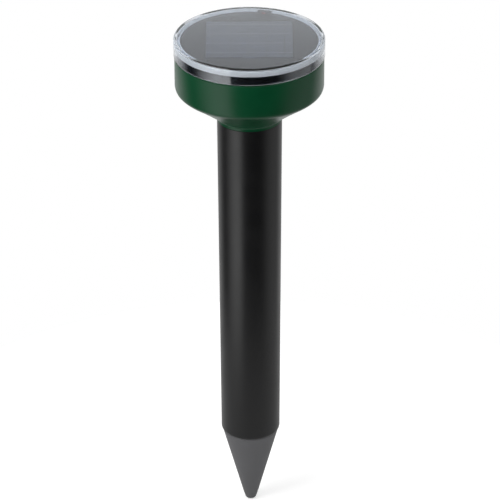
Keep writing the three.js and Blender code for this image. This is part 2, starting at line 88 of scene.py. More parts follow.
# %% [markdown]
# ## Helpers for shape
# Most of the object is round, so most pieces are a profile carried round the upright axis. The
# others are a profile carried along a path, for wires and springs, or a rounded outline stacked
# in layers, for blocks. All of them fill one grid of points, which one function turns to a mesh.

# %% A grid of points becomes a closed mesh
def mesh_from_grid(name, points, wrap_u=True, wrap_v=True, caps=False):
    """A mesh from points[u, v]. Each face joins neighbours in u and in v; a wrapped direction
    joins its last row to its first, and caps closes both ends of u with one face each."""
    rows, cols = points.shape[:2]
    index = np.arange(rows * cols).reshape(rows, cols)
    u = np.arange(rows if wrap_u else rows - 1)
    v = np.arange(cols if wrap_v else cols - 1)
    a = index[np.ix_(u, v)]
    b = index[np.ix_((u + 1) % rows, v)]
    c = index[np.ix_((u + 1) % rows, (v + 1) % cols)]
    d = index[np.ix_(u, (v + 1) % cols)]
    faces = np.stack([a, b, c, d], axis=-1).reshape(-1, 4).tolist()
    if caps:
        faces += [index[0][::-1].tolist(), index[-1].tolist()]
    mesh = bpy.data.meshes.new(name)
    mesh.from_pydata((points.reshape(-1, 3) * MM).tolist(), [], faces)
    tidy = bmesh.new()
    tidy.from_mesh(mesh)
    bmesh.ops.remove_doubles(tidy, verts=tidy.verts, dist=1e-7)
    bmesh.ops.dissolve_degenerate(tidy, edges=tidy.edges, dist=1e-8)
    bmesh.ops.recalc_face_normals(tidy, faces=tidy.faces)
    tidy.to_mesh(mesh)
    tidy.free()
    return mesh


def softened(corners, closed):
    """A profile with its sharp corners rounded. corners holds [r, z, radius]; each corner is
    cut back along both its sides and filled with a quadratic curve through five points."""
    line = np.array([list(c[:2]) for c in corners], float)
    radii = [c[2] if len(c) > 2 else 0 for c in corners]
    count = len(line)
    out = []
    for i in range(count):
        at_end = not closed and i in (0, count - 1)
        if radii[i] == 0 or at_end:
            out.append(line[i])
            continue
        before = line[i - 1] - line[i]
        after = line[(i + 1) % count] - line[i]
        back = min(radii[i], 0.45 * np.hypot(*before), 0.45 * np.hypot(*after))
        p = line[i] + back * before / np.hypot(*before)
        q = line[i] + back * after / np.hypot(*after)
        t = np.linspace(0, 1, 5)[:, None]
        out.extend((1 - t) ** 2 * p + 2 * t * (1 - t) * line[i] + t**2 * q)
    return np.array(out)


def turned(name, corners, steps=160, closed=True, at=(0, 0, 0)):
    """A solid of revolution: point (r, z) of the profile becomes (r cos a, r sin a, z) for
    steps equal angles a. A profile that starts and ends on the axis isn't closed."""
    profile = softened(corners, closed)
    angle = np.arange(steps) / steps * 2 * np.pi
    r, z = profile[:, 0][:, None], profile[:, 1][:, None]
    grid = np.stack([r * np.cos(angle), r * np.sin(angle), z + 0 * angle], axis=-1)
    return mesh_from_grid(name, grid + np.array(at), wrap_u=closed)


def slab(name, lo, hi, corner=1.0, edge=0.3, steps=6):
    """A block with rounded upright corners and softened edges: its outline is a rectangle whose
    corners are quarter circles, stacked in layers that step in near the bottom and the top."""
    lo, hi = np.array(lo, float), np.array(hi, float)
    half = (hi - lo)[:2] / 2
    corner = min(corner, half.min() * 0.98)
    turn = np.linspace(0, np.pi / 2, steps)
    angle = np.concatenate([turn + k * np.pi / 2 for k in range(4)])
    signs = np.repeat([[1, 1], [-1, 1], [-1, -1], [1, -1]], steps, axis=0)
    centre = signs * (half - corner)
    unit = np.stack([np.cos(angle), np.sin(angle)], axis=-1)
    bend = np.linspace(0, np.pi / 2, 4)
    inset = np.concatenate([edge * (1 - np.sin(bend)), edge * (1 - np.cos(bend))])
    level = np.concatenate([edge * (1 - np.cos(bend)), hi[2] - lo[2] - edge * (1 - np.sin(bend))])
    ring = centre[None] + (corner - inset)[:, None, None] * unit[None]
    z = np.broadcast_to(level[:, None, None], (*ring.shape[:2], 1))
    grid = np.concatenate([ring, z], axis=-1) + np.array([*(lo + hi)[:2] / 2, lo[2]])
    return mesh_from_grid(name, grid, wrap_u=False, caps=True)


def swept(name, path, radius, sides=16):
    """A round wire along a path: at each point a circle of the radius lies across the path,
    turned with it by the smallest turn, so that the wire doesn't twist."""
    path = np.array(path, float)
    along = np.gradient(path, axis=0)
    along /= np.linalg.norm(along, axis=1)[:, None]
    side = np.cross(along[0], [0.3, 0.5, 0.8])
    sides_of_path = []
    for t in along:
        side = side - t * side.dot(t)
        side = side / np.linalg.norm(side)
        sides_of_path.append(side)
    across = np.array(sides_of_path)
    other = np.cross(along, across)
    angle = np.arange(sides) / sides * 2 * np.pi
    circle = np.cos(angle)[:, None] * across[:, None] + np.sin(angle)[:, None] * other[:, None]
    return mesh_from_grid(name, path[:, None] + radius * circle, wrap_u=False, caps=True)


def smooth_path(points, count=60):
    """A smooth path through points: each stretch is a cubic whose slopes at its ends run
    parallel to the line between the neighbouring points."""
    p = np.array(points, float)
    slope = np.gradient(p, axis=0)
    t = np.linspace(0, len(p) - 1, count)
    i = np.minimum(t.astype(int), len(p) - 2)
    f = (t - i)[:, None]
    start = (2 * f**3 - 3 * f**2 + 1) * p[i] + (f**3 - 2 * f**2 + f) * slope[i]
    return start + (3 * f**2 - 2 * f**3) * p[i + 1] + (f**3 - f**2) * slope[i + 1]


print("shape helpers ready")


# %% [markdown]
# ## Helpers for pieces
# A piece gets its material, rides on a CAD body and hides the CAD nodes that it stands for. Its
# faces are shaded smooth up to an angle, so that moulded edges stay crisp.

# %% Place a piece, cut it and join it
def place(mesh, material, body, slot, *nodes, angle=35):
    """Makes an object of the mesh, riding on body, in place of the CAD nodes."""
    piece = bpy.data.objects.new(mesh.name, mesh)
    bpy.context.scene.collection.objects.link(piece)
    mesh.materials.append(material)
    mesh.shade_smooth()
    mesh.set_sharp_from_angle(angle=math.radians(angle))
    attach(piece, body)
    if nodes:
        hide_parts(*nodes)
    return piece


def paint(piece, material, chosen):
    """Gives the chosen faces of a piece a second material."""
    piece.data.materials.append(material)
    piece.data.polygons.foreach_set("material_index", chosen.astype(np.int32))


def face_middles(mesh):
    """The faces' middles in millimetres."""
    middles = np.empty(len(mesh.polygons) * 3)
    mesh.polygons.foreach_get("center", middles)
    return middles.reshape(-1, 3) / MM


def combined(mesh, others, operation):
    """The mesh with the others joined to it or cut from it, as a new mesh of the same name."""
    name = mesh.name
    base = bpy.data.objects.new("work", mesh)
    bpy.context.scene.collection.objects.link(base)
    helpers = []
    for other in others:
        tool = bpy.data.objects.new("tool", other)
        bpy.context.scene.collection.objects.link(tool)
        step = base.modifiers.new("step", "BOOLEAN")
        step.operation = operation
        step.object = tool
        step.solver = "EXACT"
        helpers.append(tool)
    made = bpy.data.meshes.new_from_object(base.evaluated_get(bpy.context.evaluated_depsgraph_get()))
    for used in [base, *helpers]:
        bpy.data.objects.remove(used)
    bpy.data.meshes.remove(mesh)
    made.name = name
    return made


def cut(mesh, *others):
    return combined(mesh, others, "DIFFERENCE")


def merged(mesh, *others):
    return combined(mesh, others, "UNION")


print("piece helpers ready")


# %% [markdown]
# ## Materials
# Colours are written as sRGB hex and turned to linear by one function, and one function adds a
# node with its settings and links. Every finish starts from the typical values of the real
# material, and its pattern is sized from a real length.

# %% One function for colour, one for nodes
def linear(hex_colour):
    """The linear colour of an sRGB hex value, by the standard sRGB curve."""
    parts = [int(hex_colour[i : i + 2], 16) / 255 for i in (1, 3, 5)]
    curve = [c / 12.92 if c <= 0.04045 else ((c + 0.055) / 1.055) ** 2.4 for c in parts]
    return (*curve, 1)


def node(material, kind, settings=None, **inputs):
    """Adds a node. settings are its properties, and an input is a value or another's socket."""
    made = material.node_tree.nodes.new(kind)
    for key, value in (settings or {}).items():
        setattr(made, key, value)
    for key, value in inputs.items():
        socket = made.inputs[int(key[1:])] if key[0] == "_" else made.inputs[key.replace("_", " ")]
        if isinstance(value, bpy.types.NodeSocket):
            material.node_tree.links.new(value, socket)
        else:
            socket.default_value = value
    return made


def moulded(name, dark, light, roughness, grain_mm=0.5, bump=0.05, specular=0.5, spread=0.06):
    """Injection-moulded plastic: two close tones in slow clouds, a fine spark-eroded grain in
    the bump, and a roughness that wanders a little where the tool was polished less."""
    m = bpy.data.materials.new(name)
    m.use_nodes = True
    m.node_tree.nodes.clear()
    place_at = node(m, "ShaderNodeTexCoord").outputs["Object"]
    clouds = node(m, "ShaderNodeTexNoise", Vector=place_at, Scale=1 / (18 * MM), Detail=3.0)
    grain = node(m, "ShaderNodeTexNoise", Vector=place_at, Scale=1 / (grain_mm * MM), Detail=4.0)
    tone = node(m, "ShaderNodeMix", {"data_type": "RGBA"}, _0=clouds.outputs["Fac"])
    tone.inputs[6].default_value = linear(dark)
    tone.inputs[7].default_value = linear(light)
    shine = node(
        m, "ShaderNodeMapRange", Value=clouds.outputs["Fac"],
        _3=roughness - spread, _4=roughness + spread,
    )
    relief = node(
        m, "ShaderNodeBump", Height=grain.outputs["Fac"], Strength=bump, Distance=0.05 * MM
    )
    skin = node(
        m, "ShaderNodeBsdfPrincipled", Base_Color=tone.outputs[2], IOR=1.5,
        Roughness=shine.outputs["Result"], Normal=relief.outputs["Normal"],
    )
    skin.inputs["Specular IOR Level"].default_value = specular
    node(m, "ShaderNodeOutputMaterial", Surface=skin.outputs["BSDF"])
    return m


def metal(name, dark, light, roughness, streak_mm=0.4, bump=0.05):
    """Plated or bare metal: two close tones and a roughness that follows fine rolled streaks."""
    m = bpy.data.materials.new(name)
    m.use_nodes = True
    m.node_tree.nodes.clear()
    place_at = node(m, "ShaderNodeTexCoord").outputs["Object"]
    stretched = node(m, "ShaderNodeMapping", Vector=place_at, Scale=(1, 1, 0.12))
    streaks = node(
        m, "ShaderNodeTexNoise", Vector=stretched.outputs["Vector"],
        Scale=1 / (streak_mm * MM), Detail=4.0,
    )
    tone = node(m, "ShaderNodeMix", {"data_type": "RGBA"}, _0=streaks.outputs["Fac"])
    tone.inputs[6].default_value = linear(dark)
    tone.inputs[7].default_value = linear(light)
    shine = node(
        m, "ShaderNodeMapRange", Value=streaks.outputs["Fac"],
        _3=roughness - 0.08, _4=roughness + 0.08,
    )
    relief = node(
        m, "ShaderNodeBump", Height=streaks.outputs["Fac"], Strength=bump, Distance=0.03 * MM
    )
    skin = node(
        m, "ShaderNodeBsdfPrincipled", Base_Color=tone.outputs[2], Metallic=1.0,
        Roughness=shine.outputs["Result"], Normal=relief.outputs["Normal"],
    )
    node(m, "ShaderNodeOutputMaterial", Surface=skin.outputs["BSDF"])
    return m


print("material helpers ready")

# %% Plastics, rubber and metals
# Moulded polypropylene: mid grey with a soft, slightly waxy sheen and no sharp highlights.
SPIKE_PP = moulded("moulded_polypropylene_grey", "#4f4f50", "#57575a", 0.52, specular=0.4)
# Extruded ABS: near black, with satin highlights that run straight up the tube.
TUBE_ABS = moulded("extruded_abs_black", "#09090a", "#0e0e0f", 0.36, 0.35, 0.03, specular=0.35)
# Polished moulded ABS in dark green: broad, weak highlights over a deep colour.
HEAD_ABS = moulded(
    "moulded_abs_green", "#04361e", "#064026", 0.3, 0.4, 0.03, specular=0.2, spread=0.02,
)
# Moulded ABS in black with a trace of blue: it goes dark wherever nothing bright is mirrored.
PLATE_ABS = moulded("moulded_abs_black", "#060a10", "#0a0f16", 0.25, 0.4, 0.01, specular=0.4)
# Moulded rubber: soft black, with almost no highlight.
RUBBER = moulded("moulded_rubber_black", "#131314", "#1b1b1c", 0.7, 0.3, 0.15, specular=0.3)
# White moulded ABS: bright, and it scatters the light from above back to the eye.
WHITE_ABS = moulded("moulded_abs_white", "#e4e8ee", "#eef1f6", 0.4, 0.4, 0.03, specular=0.4)
# Natural nylon: warm white with a slight gloss.
NYLON = moulded("moulded_nylon_white", "#d9d4c6", "#e2ddd0", 0.45, 0.4, 0.04)
# Sintered ferrite: charcoal, with a fine, rough, slightly glinting grain.
FERRITE = moulded("sintered_ferrite", "#2a2a2d", "#38383b", 0.6, 0.25, 0.3, specular=0.4)
# Pressed paper: flat black, with fibres that break up any highlight.
PAPER = moulded("pressed_paper_black", "#151515", "#232322", 0.9, 0.4, 0.4, specular=0.2)
# Shrink sleeve: smooth, bright green film with a clear highlight.
SLEEVE = moulded("shrink_sleeve_green", "#2a7a44", "#328a4e", 0.3, 0.6, 0.02)
# Extruded PVC: smooth, glossy insulation, in red and in black.
RED_PVC = moulded("extruded_pvc_red", "#a31515", "#b52222", 0.35, 0.3, 0.02)
BLACK_PVC = moulded("extruded_pvc_black", "#121212", "#1b1b1b", 0.35, 0.3, 0.02)
# Zinc plating: cool, pale metal with fine rolled streaks in its shine.
STEEL = metal("zinc_plated_steel", "#b4b6b8", "#c9cbcc", 0.3)
# Enamelled copper: warm brown metal with a lacquer gloss.
COPPER = metal("enamelled_copper", "#b06a3c", "#c98250", 0.28, 0.15)
print("plastics and metals:", len(bpy.data.materials))

# %% [markdown]
# ## The clear cover's plastic
# The cover is moulded in clear acrylic. The eye sees it by its reflections: weak face on, strong
# at a slant, so the top mirrors the bright surroundings over the dark panel. A closed solid with
# a real wall gives both its surfaces, and the ripple of moulding is a very shallow bump.

# %% Clear acrylic and its frosted inner wall
def acrylic(name, roughness, whiteness):
    """Clear acrylic; whiteness mixes in the milky scatter of a frosted face."""
    m = bpy.data.materials.new(name)
    m.use_nodes = True
    m.node_tree.nodes.clear()
    place_at = node(m, "ShaderNodeTexCoord").outputs["Object"]
    ripple = node(m, "ShaderNodeTexNoise", Vector=place_at, Scale=1 / (25 * MM), Detail=1.0)
    wear = node(m, "ShaderNodeTexNoise", Vector=place_at, Scale=1 / (1.2 * MM), Detail=5.0)
    shine = node(
        m, "ShaderNodeMapRange", Value=wear.outputs["Fac"],
        _1=0.35, _2=0.75, _3=roughness, _4=roughness + 0.05,
    )
    relief = node(
        m, "ShaderNodeBump", Height=ripple.outputs["Fac"], Strength=0.15, Distance=0.1 * MM
    )
    clear = node(
        m, "ShaderNodeBsdfPrincipled", IOR=1.49, Roughness=shine.outputs["Result"],
        Normal=relief.outputs["Normal"],
    )
    clear.inputs["Base Color"].default_value = linear("#eff5fc")
    clear.inputs["Transmission Weight"].default_value = 1.0
    surface = clear.outputs["BSDF"]
    if whiteness:
        milk = node(m, "ShaderNodeBsdfDiffuse", Color=linear("#f2f4f6"))
        speckle = node(
            m, "ShaderNodeMapRange", Value=wear.outputs["Fac"],
            _3=whiteness - 0.08, _4=whiteness + 0.08,
        )
        surface = node(
            m, "ShaderNodeMixShader", _0=speckle.outputs["Result"], _1=surface,
            _2=milk.outputs["BSDF"],
        ).outputs["Shader"]
    node(m, "ShaderNodeOutputMaterial", Surface=surface)
    return m


ACRYLIC = acrylic("moulded_acrylic_clear", 0.02, 0)
FROSTED = acrylic("moulded_acrylic_frosted", 0.45, 0.8)
print("acrylic ready")


# %% [markdown]
# ## Solar cells
# The panel is a sheet of dark blue silicon cells under clear resin. Fine silver fingers cross
# each cell 2 mm apart, two wider busbars gather them, and a narrow gap parts one cell from the
# next. The pattern is drawn from the distances across the panel, and a clear coat stands for
# the resin.

# %% Silicon under resin
PANEL_HALF = high("solar_panel")[0]


def stripes(m, across, pitch_mm, width_mm):
    """1 on stripes of the width that repeat at the pitch along a coordinate, otherwise 0."""
    share = node(m, "ShaderNodeMath", {"operation": "DIVIDE"}, _0=across, _1=pitch_mm * MM)
    saw = node(m, "ShaderNodeMath", {"operation": "FRACT"}, _0=share.outputs[0])
    limit = width_mm / pitch_mm
    return node(m, "ShaderNodeMath", {"operation": "LESS_THAN"}, _0=saw.outputs[0], _1=limit).outputs[0]


def solar_cells():
    """Blue-black silicon with silver fingers, busbars and gaps, under clear resin."""
    m = bpy.data.materials.new("silicon_cells_under_resin")
    m.use_nodes = True
    m.node_tree.nodes.clear()
    place_at = node(m, "ShaderNodeTexCoord").outputs["Object"]
    moved = node(m, "ShaderNodeMapping", Vector=place_at, Location=(0.1, 0.1, 0)).outputs["Vector"]
    xyz = node(m, "ShaderNodeSeparateXYZ", Vector=moved)
    grains = node(m, "ShaderNodeTexVoronoi", Vector=place_at, Scale=1 / (4 * MM))
    silicon = node(m, "ShaderNodeMix", {"data_type": "RGBA"}, _0=grains.outputs["Distance"])
    silicon.inputs[6].default_value = linear("#0d1830")
    silicon.inputs[7].default_value = linear("#172544")
    fingers = stripes(m, xyz.outputs["X"], 2.0, 0.12)
    bars = stripes(m, xyz.outputs["Y"], 15.5, 0.9)
    lines = node(m, "ShaderNodeMath", {"operation": "MAXIMUM"}, _0=fingers, _1=bars).outputs[0]
    printed = node(m, "ShaderNodeMix", {"data_type": "RGBA"}, _0=lines, _6=silicon.outputs[2])
    printed.inputs[7].default_value = linear("#5d626b")
    gaps = stripes(m, xyz.outputs["X"], 12.4, 0.5)
    parted = node(m, "ShaderNodeMix", {"data_type": "RGBA"}, _0=gaps, _6=printed.outputs[2])
    parted.inputs[7].default_value = linear("#07090d")
    ripple = node(m, "ShaderNodeTexNoise", Vector=place_at, Scale=1 / (9 * MM), Detail=1.0)
    relief = node(
        m, "ShaderNodeBump", Height=ripple.outputs["Fac"], Strength=0.2, Distance=0.1 * MM
    )
    skin = node(
        m, "ShaderNodeBsdfPrincipled", Base_Color=parted.outputs[2], Roughness=0.35,
        Coat_Normal=relief.outputs["Normal"],
    )
    skin.inputs["Coat Weight"].default_value = 0.5
    skin.inputs["Coat Roughness"].default_value = 0.06
    node(m, "ShaderNodeOutputMaterial", Surface=skin.outputs["BSDF"])
    return m


SOLAR = solar_cells()
print("solar cells ready for a panel of", 2 * PANEL_HALF, "mm")


# %% [markdown]
# ## Circuit board and lamp
# The board is glass-epoxy under green solder resist: the copper tracks below it show as slightly
# lighter bands. The lamp is red epoxy that lets light through.

# %% Solder resist and red epoxy
def solder_resist():
    """Green resist, lighter where tracks 0.6 mm wide run under it."""
    m = bpy.data.materials.new("solder_resist_green")
    m.use_nodes = True
    m.node_tree.nodes.clear()
    place_at = node(m, "ShaderNodeTexCoord").outputs["Object"]
    patch = node(m, "ShaderNodeTexNoise", Vector=place_at, Scale=1 / (9 * MM), Detail=0.0)
    xyz = node(m, "ShaderNodeSeparateXYZ", Vector=place_at)
    shifted = node(m, "ShaderNodeMath", {"operation": "ADD"}, _0=xyz.outputs["X"], _1=0.1)
    tracks = stripes(m, shifted.outputs[0], 1.9, 0.6)
    where = node(m, "ShaderNodeMath", {"operation": "GREATER_THAN"}, _0=patch.outputs["Fac"], _1=0.52)
    both = node(m, "ShaderNodeMath", {"operation": "MULTIPLY"}, _0=tracks, _1=where.outputs[0])
    tone = node(m, "ShaderNodeMix", {"data_type": "RGBA"}, _0=both.outputs[0])
    tone.inputs[6].default_value = linear("#14502c")
    tone.inputs[7].default_value = linear("#2b7a48")
    relief = node(m, "ShaderNodeBump", Height=both.outputs[0], Strength=0.4, Distance=0.04 * MM)
    skin = node(
        m, "ShaderNodeBsdfPrincipled", Base_Color=tone.outputs[2], Roughness=0.35,
        Normal=relief.outputs["Normal"],
    )
    node(m, "ShaderNodeOutputMaterial", Surface=skin.outputs["BSDF"])
    return m


def red_epoxy():
    """Tinted epoxy: part of the light goes through, and the rest shows a deep red."""
    m = bpy.data.materials.new("cast_epoxy_red")
    m.use_nodes = True
    m.node_tree.nodes.clear()
    place_at = node(m, "ShaderNodeTexCoord").outputs["Object"]
    haze = node(m, "ShaderNodeTexNoise", Vector=place_at, Scale=1 / (1.5 * MM), Detail=2.0)
    tone = node(m, "ShaderNodeMix", {"data_type": "RGBA"}, _0=haze.outputs["Fac"])
    tone.inputs[6].default_value = linear("#8f1414")
    tone.inputs[7].default_value = linear("#b02020")
    skin = node(m, "ShaderNodeBsdfPrincipled", Base_Color=tone.outputs[2], Roughness=0.12, IOR=1.54)
    skin.inputs["Transmission Weight"].default_value = 0.4
    node(m, "ShaderNodeOutputMaterial", Surface=skin.outputs["BSDF"])
    return m


RESIST = solder_resist()
EPOXY = red_epoxy()
print("materials:", len(bpy.data.materials))


# %% [markdown]
# ## Spike
# The spike is one moulding: a cone with a blunt rounded point that is pushed into the soil, a
# shoulder that the tube rests on, and a hollow plug inside the tube with two crossed ribs. The
# cone is a straight line in the profile, rounded only at the point and the shoulder.

# %% Turn the spike and add its ribs
POINT_R = 4.4
PLUG_R = high("stake_tube")[0] - 3.8


def spike_mesh():
    """The cone runs straight from the rounded point to the shoulder; the plug steps in."""
    corners = [
        [0, 0],
        [POINT_R * 0.82, 0.05, 2.6],
        [POINT_R * 1.18, 4.9, 1.5],
        [SPIKE_R - 0.05, SPIKE_TOP - 0.9, 0.4],
        [SPIKE_R - 0.5, SPIKE_TOP, 0.3],
        [PLUG_R, SPIKE_TOP, 0.2],
        [PLUG_R, PLUG_TOP - 2, 0.5],
        [PLUG_R - 1, PLUG_TOP, 0.3],
        [PLUG_R - 3, PLUG_TOP, 0.3],
        [PLUG_R - 3, SPIKE_TOP - 10, 1],
        [4, SPIKE_TOP - 34, 2],
        [0, SPIKE_TOP - 34],
    ]
    return turned("spike_moulding", corners, closed=False)


reach = PLUG_R - 2.6
ribs = [
    slab("rib", [-reach, -1, SPIKE_TOP - 4], [reach, 1, PLUG_TOP - 4], 0.3, 0.2),
    slab("rib", [-1, -reach, SPIKE_TOP - 4], [1, reach, PLUG_TOP - 4], 0.3, 0.2),
]
spike = place(merged(spike_mesh(), *ribs), SPIKE_PP, "spike", "spike_plastic", "spike")
print("spike faces:", len(spike.data.polygons))

# %% [markdown]
# ## Tube
# The tube is extruded and slightly tapered, open at both ends, with its lower edge rounded over.
# It is the largest dark surface, so its satin roughness decides how soft its highlights look.

# %% Turn the tube
tube_corners = [
    [TUBE_TOP_R - 3.45, TUBE_FOOT],
    [TUBE_TOP_R - 1.9, TUBE_FOOT + 0.1, 0.9],
    [TUBE_TOP_R - 1.5, TUBE_FOOT + 1.4, 0.6],
    [TUBE_TOP_R, TUBE_TOP, 0.3],
    [TUBE_TOP_R - 2, TUBE_TOP, 0.3],
    [TUBE_TOP_R - 3.5, TUBE_FOOT, 0.3],
]
tube = place(turned("tapered_tube", tube_corners), TUBE_ABS, "tube", "tube_plastic", "stake_tube")
print("tube faces:", len(tube.data.polygons))

# %% [markdown]
# ## Neck spigot and its seal
# A black sleeve hangs from the head and plugs into the tube. A groove round it holds a rubber
# ring. It shows only when the head is pulled off the tube.

# %% Turn the spigot and the seal
SPIGOT_R = TUBE_TOP_R - 2.45
BORE_R = SPIGOT_R - 3
FLANGE_TOP = high("neck_spigot")[2]
FLANGE_R = high("neck_spigot")[0]
GROOVE_LOW, GROOVE_HIGH = NECK_FOOT - 13.6, NECK_FOOT - 11.4
spigot_corners = [
    [BORE_R, low("neck_spigot")[2], 0.4],
    [SPIGOT_R - 0.8, low("neck_spigot")[2], 0.3],
    [SPIGOT_R, low("neck_spigot")[2] + 1, 0.5],
    [SPIGOT_R, GROOVE_LOW, 0.2],
    [SPIGOT_R - 1.5, GROOVE_LOW, 0.2],
    [SPIGOT_R - 1.5, GROOVE_HIGH, 0.2],
    [SPIGOT_R, GROOVE_HIGH, 0.2],
    [SPIGOT_R, FLANGE_TOP - 1.5, 0.2],
    [FLANGE_R, FLANGE_TOP - 1.5, 0.3],
    [FLANGE_R, FLANGE_TOP, 0.3],
    [BORE_R, FLANGE_TOP, 0.5],
]
place(turned("spigot_sleeve", spigot_corners, 128), PLATE_ABS, "head", "black_plastic", "neck_spigot")


def ring_seal(name, inner, outer, z0, z1):
    """An O-ring flattened in its groove: its section is a rectangle with full round corners."""
    round_by = min(outer - inner, z1 - z0) / 2
    box = [[inner, z0], [outer, z0], [outer, z1], [inner, z1]]
    return turned(name, [[r, z, round_by] for r, z in box], 128)


seal = ring_seal("neck_ring", SPIGOT_R - 1.2, SPIGOT_R + 0.1, GROOVE_LOW + 0.3, GROOVE_HIGH - 0.3)
place(seal, RUBBER, "head", "rubber", "neck_seal")
print("spigot radius", SPIGOT_R)

# %% [markdown]
# ## Head housing
# The housing is one green moulding. Seen from outside it is a short neck that flares in a
# slightly hollow funnel into an upright wall. Inside it has bosses for the lid's screws and posts
# for the battery tray and the board, and behind the neck a short turret holds the switch. The
# outside and the inside are turned, the posts are trimmed to the outside, and the holes are cut.

# %% The housing's outside and inside lines
BOWL_FOOT = NECK_FOOT + 25
SHELF = FLANGE_TOP + 5
POCKET_R = FLANGE_R + 0.3
# Radius, and height above the neck's foot, from the neck up to the upright wall.
FLARE = [
    (23, 0), (23.5, 2.7), (28.6, 6.8), (36, 12.4), (43.2, 17.6), (49, 21.6), (51.3, 24), (52, 26.6),
]


def flare(points, count):
    """A smooth line through the flare's points, whose heights count from the neck's foot."""
    line = smooth_path([(r, 0, NECK_FOOT + z) for r, z in points], count)
    return [[min(r, BOWL_R), z] for r, _, z in line.tolist()]


def housing_outside():
    top = [[BOWL_R, RIM - 0.9, 0.5], [BOWL_R - 0.8, RIM, 0.4], [0, RIM]]
    return turned("outside", [[0, NECK_FOOT], *flare(FLARE, 44), *top], 192, closed=False)


def housing_inside():
    corners = [
        [0, NECK_FOOT - 1],
        [SPIGOT_R + 0.3, NECK_FOOT - 1],
        [SPIGOT_R + 0.3, FLANGE_TOP - 1.8],
        [POCKET_R, FLANGE_TOP - 1.8],
        [POCKET_R, SHELF],
        *flare([(26, SHELF - NECK_FOOT), (34.4, 14.4), (41.8, 19.8), (47.2, 23.8), (49.5, 27.6)], 30),
        [BOWL_R - 2.5, RIM + 1],
        [0, RIM + 1],
    ]
    return turned("inside", corners, 192, closed=False)


print("flare from", FLARE[0], "to", FLARE[-1])


# %% Rods, and the places where they stand
def rod(radius, z0, z1, x=0.0, y=0.0, soft=0.0, steps=40):
    """An upright rod at x, y with its ends' edges rounded by soft."""
    corners = [[0, z0], [radius, z0, soft], [radius, z1, soft], [0, z1]]
    return turned("rod", corners, steps, closed=False, at=(x, y, 0))


def stepped(lower, upper, z0, step, z1, x, y, steps=40):
    """An upright rod of one radius up to the step and of another above it."""
    corners = [[0, z0], [lower, z0], [lower, step], [upper, step], [upper, z1], [0, z1]]
    return turned("stepped", corners, steps, closed=False, at=(x, y, 0))


def together(*meshes):
    """One mesh that holds several which don't touch."""
    collect = bmesh.new()
    for mesh in meshes:
        collect.from_mesh(mesh)
        bpy.data.meshes.remove(mesh)
    made = bpy.data.meshes.new("group")
    collect.to_mesh(made)
    collect.free()
    return made


def four(x, y):
    return [(x, y), (-x, y), (-x, -y), (x, -y)]


LID_BOSSES = four(44 * math.sqrt(0.5), 44 * math.sqrt(0.5))
TRAY_POSTS = four(34.5, 12)
BOARD_POSTS = four(23, 18)
CLAMP_SCREWS = [
    (23.9 * math.cos(math.radians(d)), 23.9 * math.sin(math.radians(d))) for d in (90, 210, 330)
]
BOARD_FOOT, BOARD_TOP = low("circuit_board")[2], high("circuit_board")[2]
TRAY_FOOT = low("battery_tray")[2]
BOSS_TOP = RIM - 8
SCREW_SEAT = BOWL_FOOT + 3.7
SWITCH_Y = (low("switch_cap")[1] + high("switch_cap")[1]) / 2
TURRET_FOOT = low("switch_cap")[2] + 2.6
print("switch axis", SWITCH_Y, "turret foot", TURRET_FOOT)


# %% Build the housing
def housing_mesh():
    floor = NECK_FOOT + 6
    posts = together(
        *[rod(4.2, floor, BOSS_TOP, x, y, 0.4) for x, y in LID_BOSSES],
        *[rod(3, floor, TRAY_FOOT - 0.3, x, y, 0.3) for x, y in TRAY_POSTS],
        *[rod(2.8, floor, BOARD_FOOT - 0.3, x, y, 0.3) for x, y in BOARD_POSTS],
    )
    holes = together(
        *[stepped(3.3, 1.7, floor - 4, SCREW_SEAT, BOSS_TOP + 1, x, y) for x, y in LID_BOSSES],
        *[rod(1.4, TRAY_FOOT - 8, TRAY_FOOT, x, y, steps=24) for x, y in TRAY_POSTS],
        *[rod(1.3, BOARD_FOOT - 7, BOARD_FOOT, x, y, steps=24) for x, y in BOARD_POSTS],
        *[rod(1.2, SHELF - 3.4, SHELF + 1, x, y, steps=24) for x, y in CLAMP_SCREWS],
        stepped(5.4, 6.7, TURRET_FOOT - 1, TURRET_FOOT + 2, BOWL_FOOT, 0, SWITCH_Y, 64),
    )
    inner = combined(posts, [housing_outside()], "INTERSECT")
    turret = rod(8.4, TURRET_FOOT, BOWL_FOOT - 2, 0, SWITCH_Y, 0.9, 96)
    shell = merged(cut(housing_outside(), housing_inside()), inner, turret)
    shell.name = "funnel_housing"
    return cut(shell, holes)


housing = place(housing_mesh(), HEAD_ABS, "head", "green_plastic", "head_housing", angle=30)
print("housing faces:", len(housing.data.polygons))

# %% [markdown]
# ## Lid: panel plate, seal, reflector ring and lamp
# The black plate rests on the housing's rim and closes the bowl. Its middle is a raised disc with
# a shallow recess for the panel. A skirt and four posts reach down into the bowl, and a small
# block near the back edge holds the lamp. Round the disc lies a bright sloping ring, which shows
# as the pale crescent under the cover, and the plate's upright rim is the dark band below it.

# %% Build the plate
LED_TURN = math.radians(77)
LED_X, LED_Y = 44.5 * math.cos(LED_TURN), 44.5 * math.sin(LED_TURN)
PLATE_R = high("panel_plate")[0]
SKIRT_FOOT = RIM - 4
PLATE_FOOT = PLATE_TOP - 2.4
CEILING = DISC_TOP - 2.4
BLOCK_TOP = COVER_TOP - 2.6


def turned_about(mesh, angle, shift):
    """The mesh turned about the upright axis and then moved, in millimetres."""
    points = np.empty(len(mesh.vertices) * 3)
    mesh.vertices.foreach_get("co", points)
    x, y, z = points.reshape(-1, 3).T
    c, s = math.cos(angle), math.sin(angle)
    moved = np.stack([c * x - s * y, s * x + c * y, z], axis=-1) + np.array(shift) * MM
    mesh.vertices.foreach_set("co", moved.ravel())
    return mesh


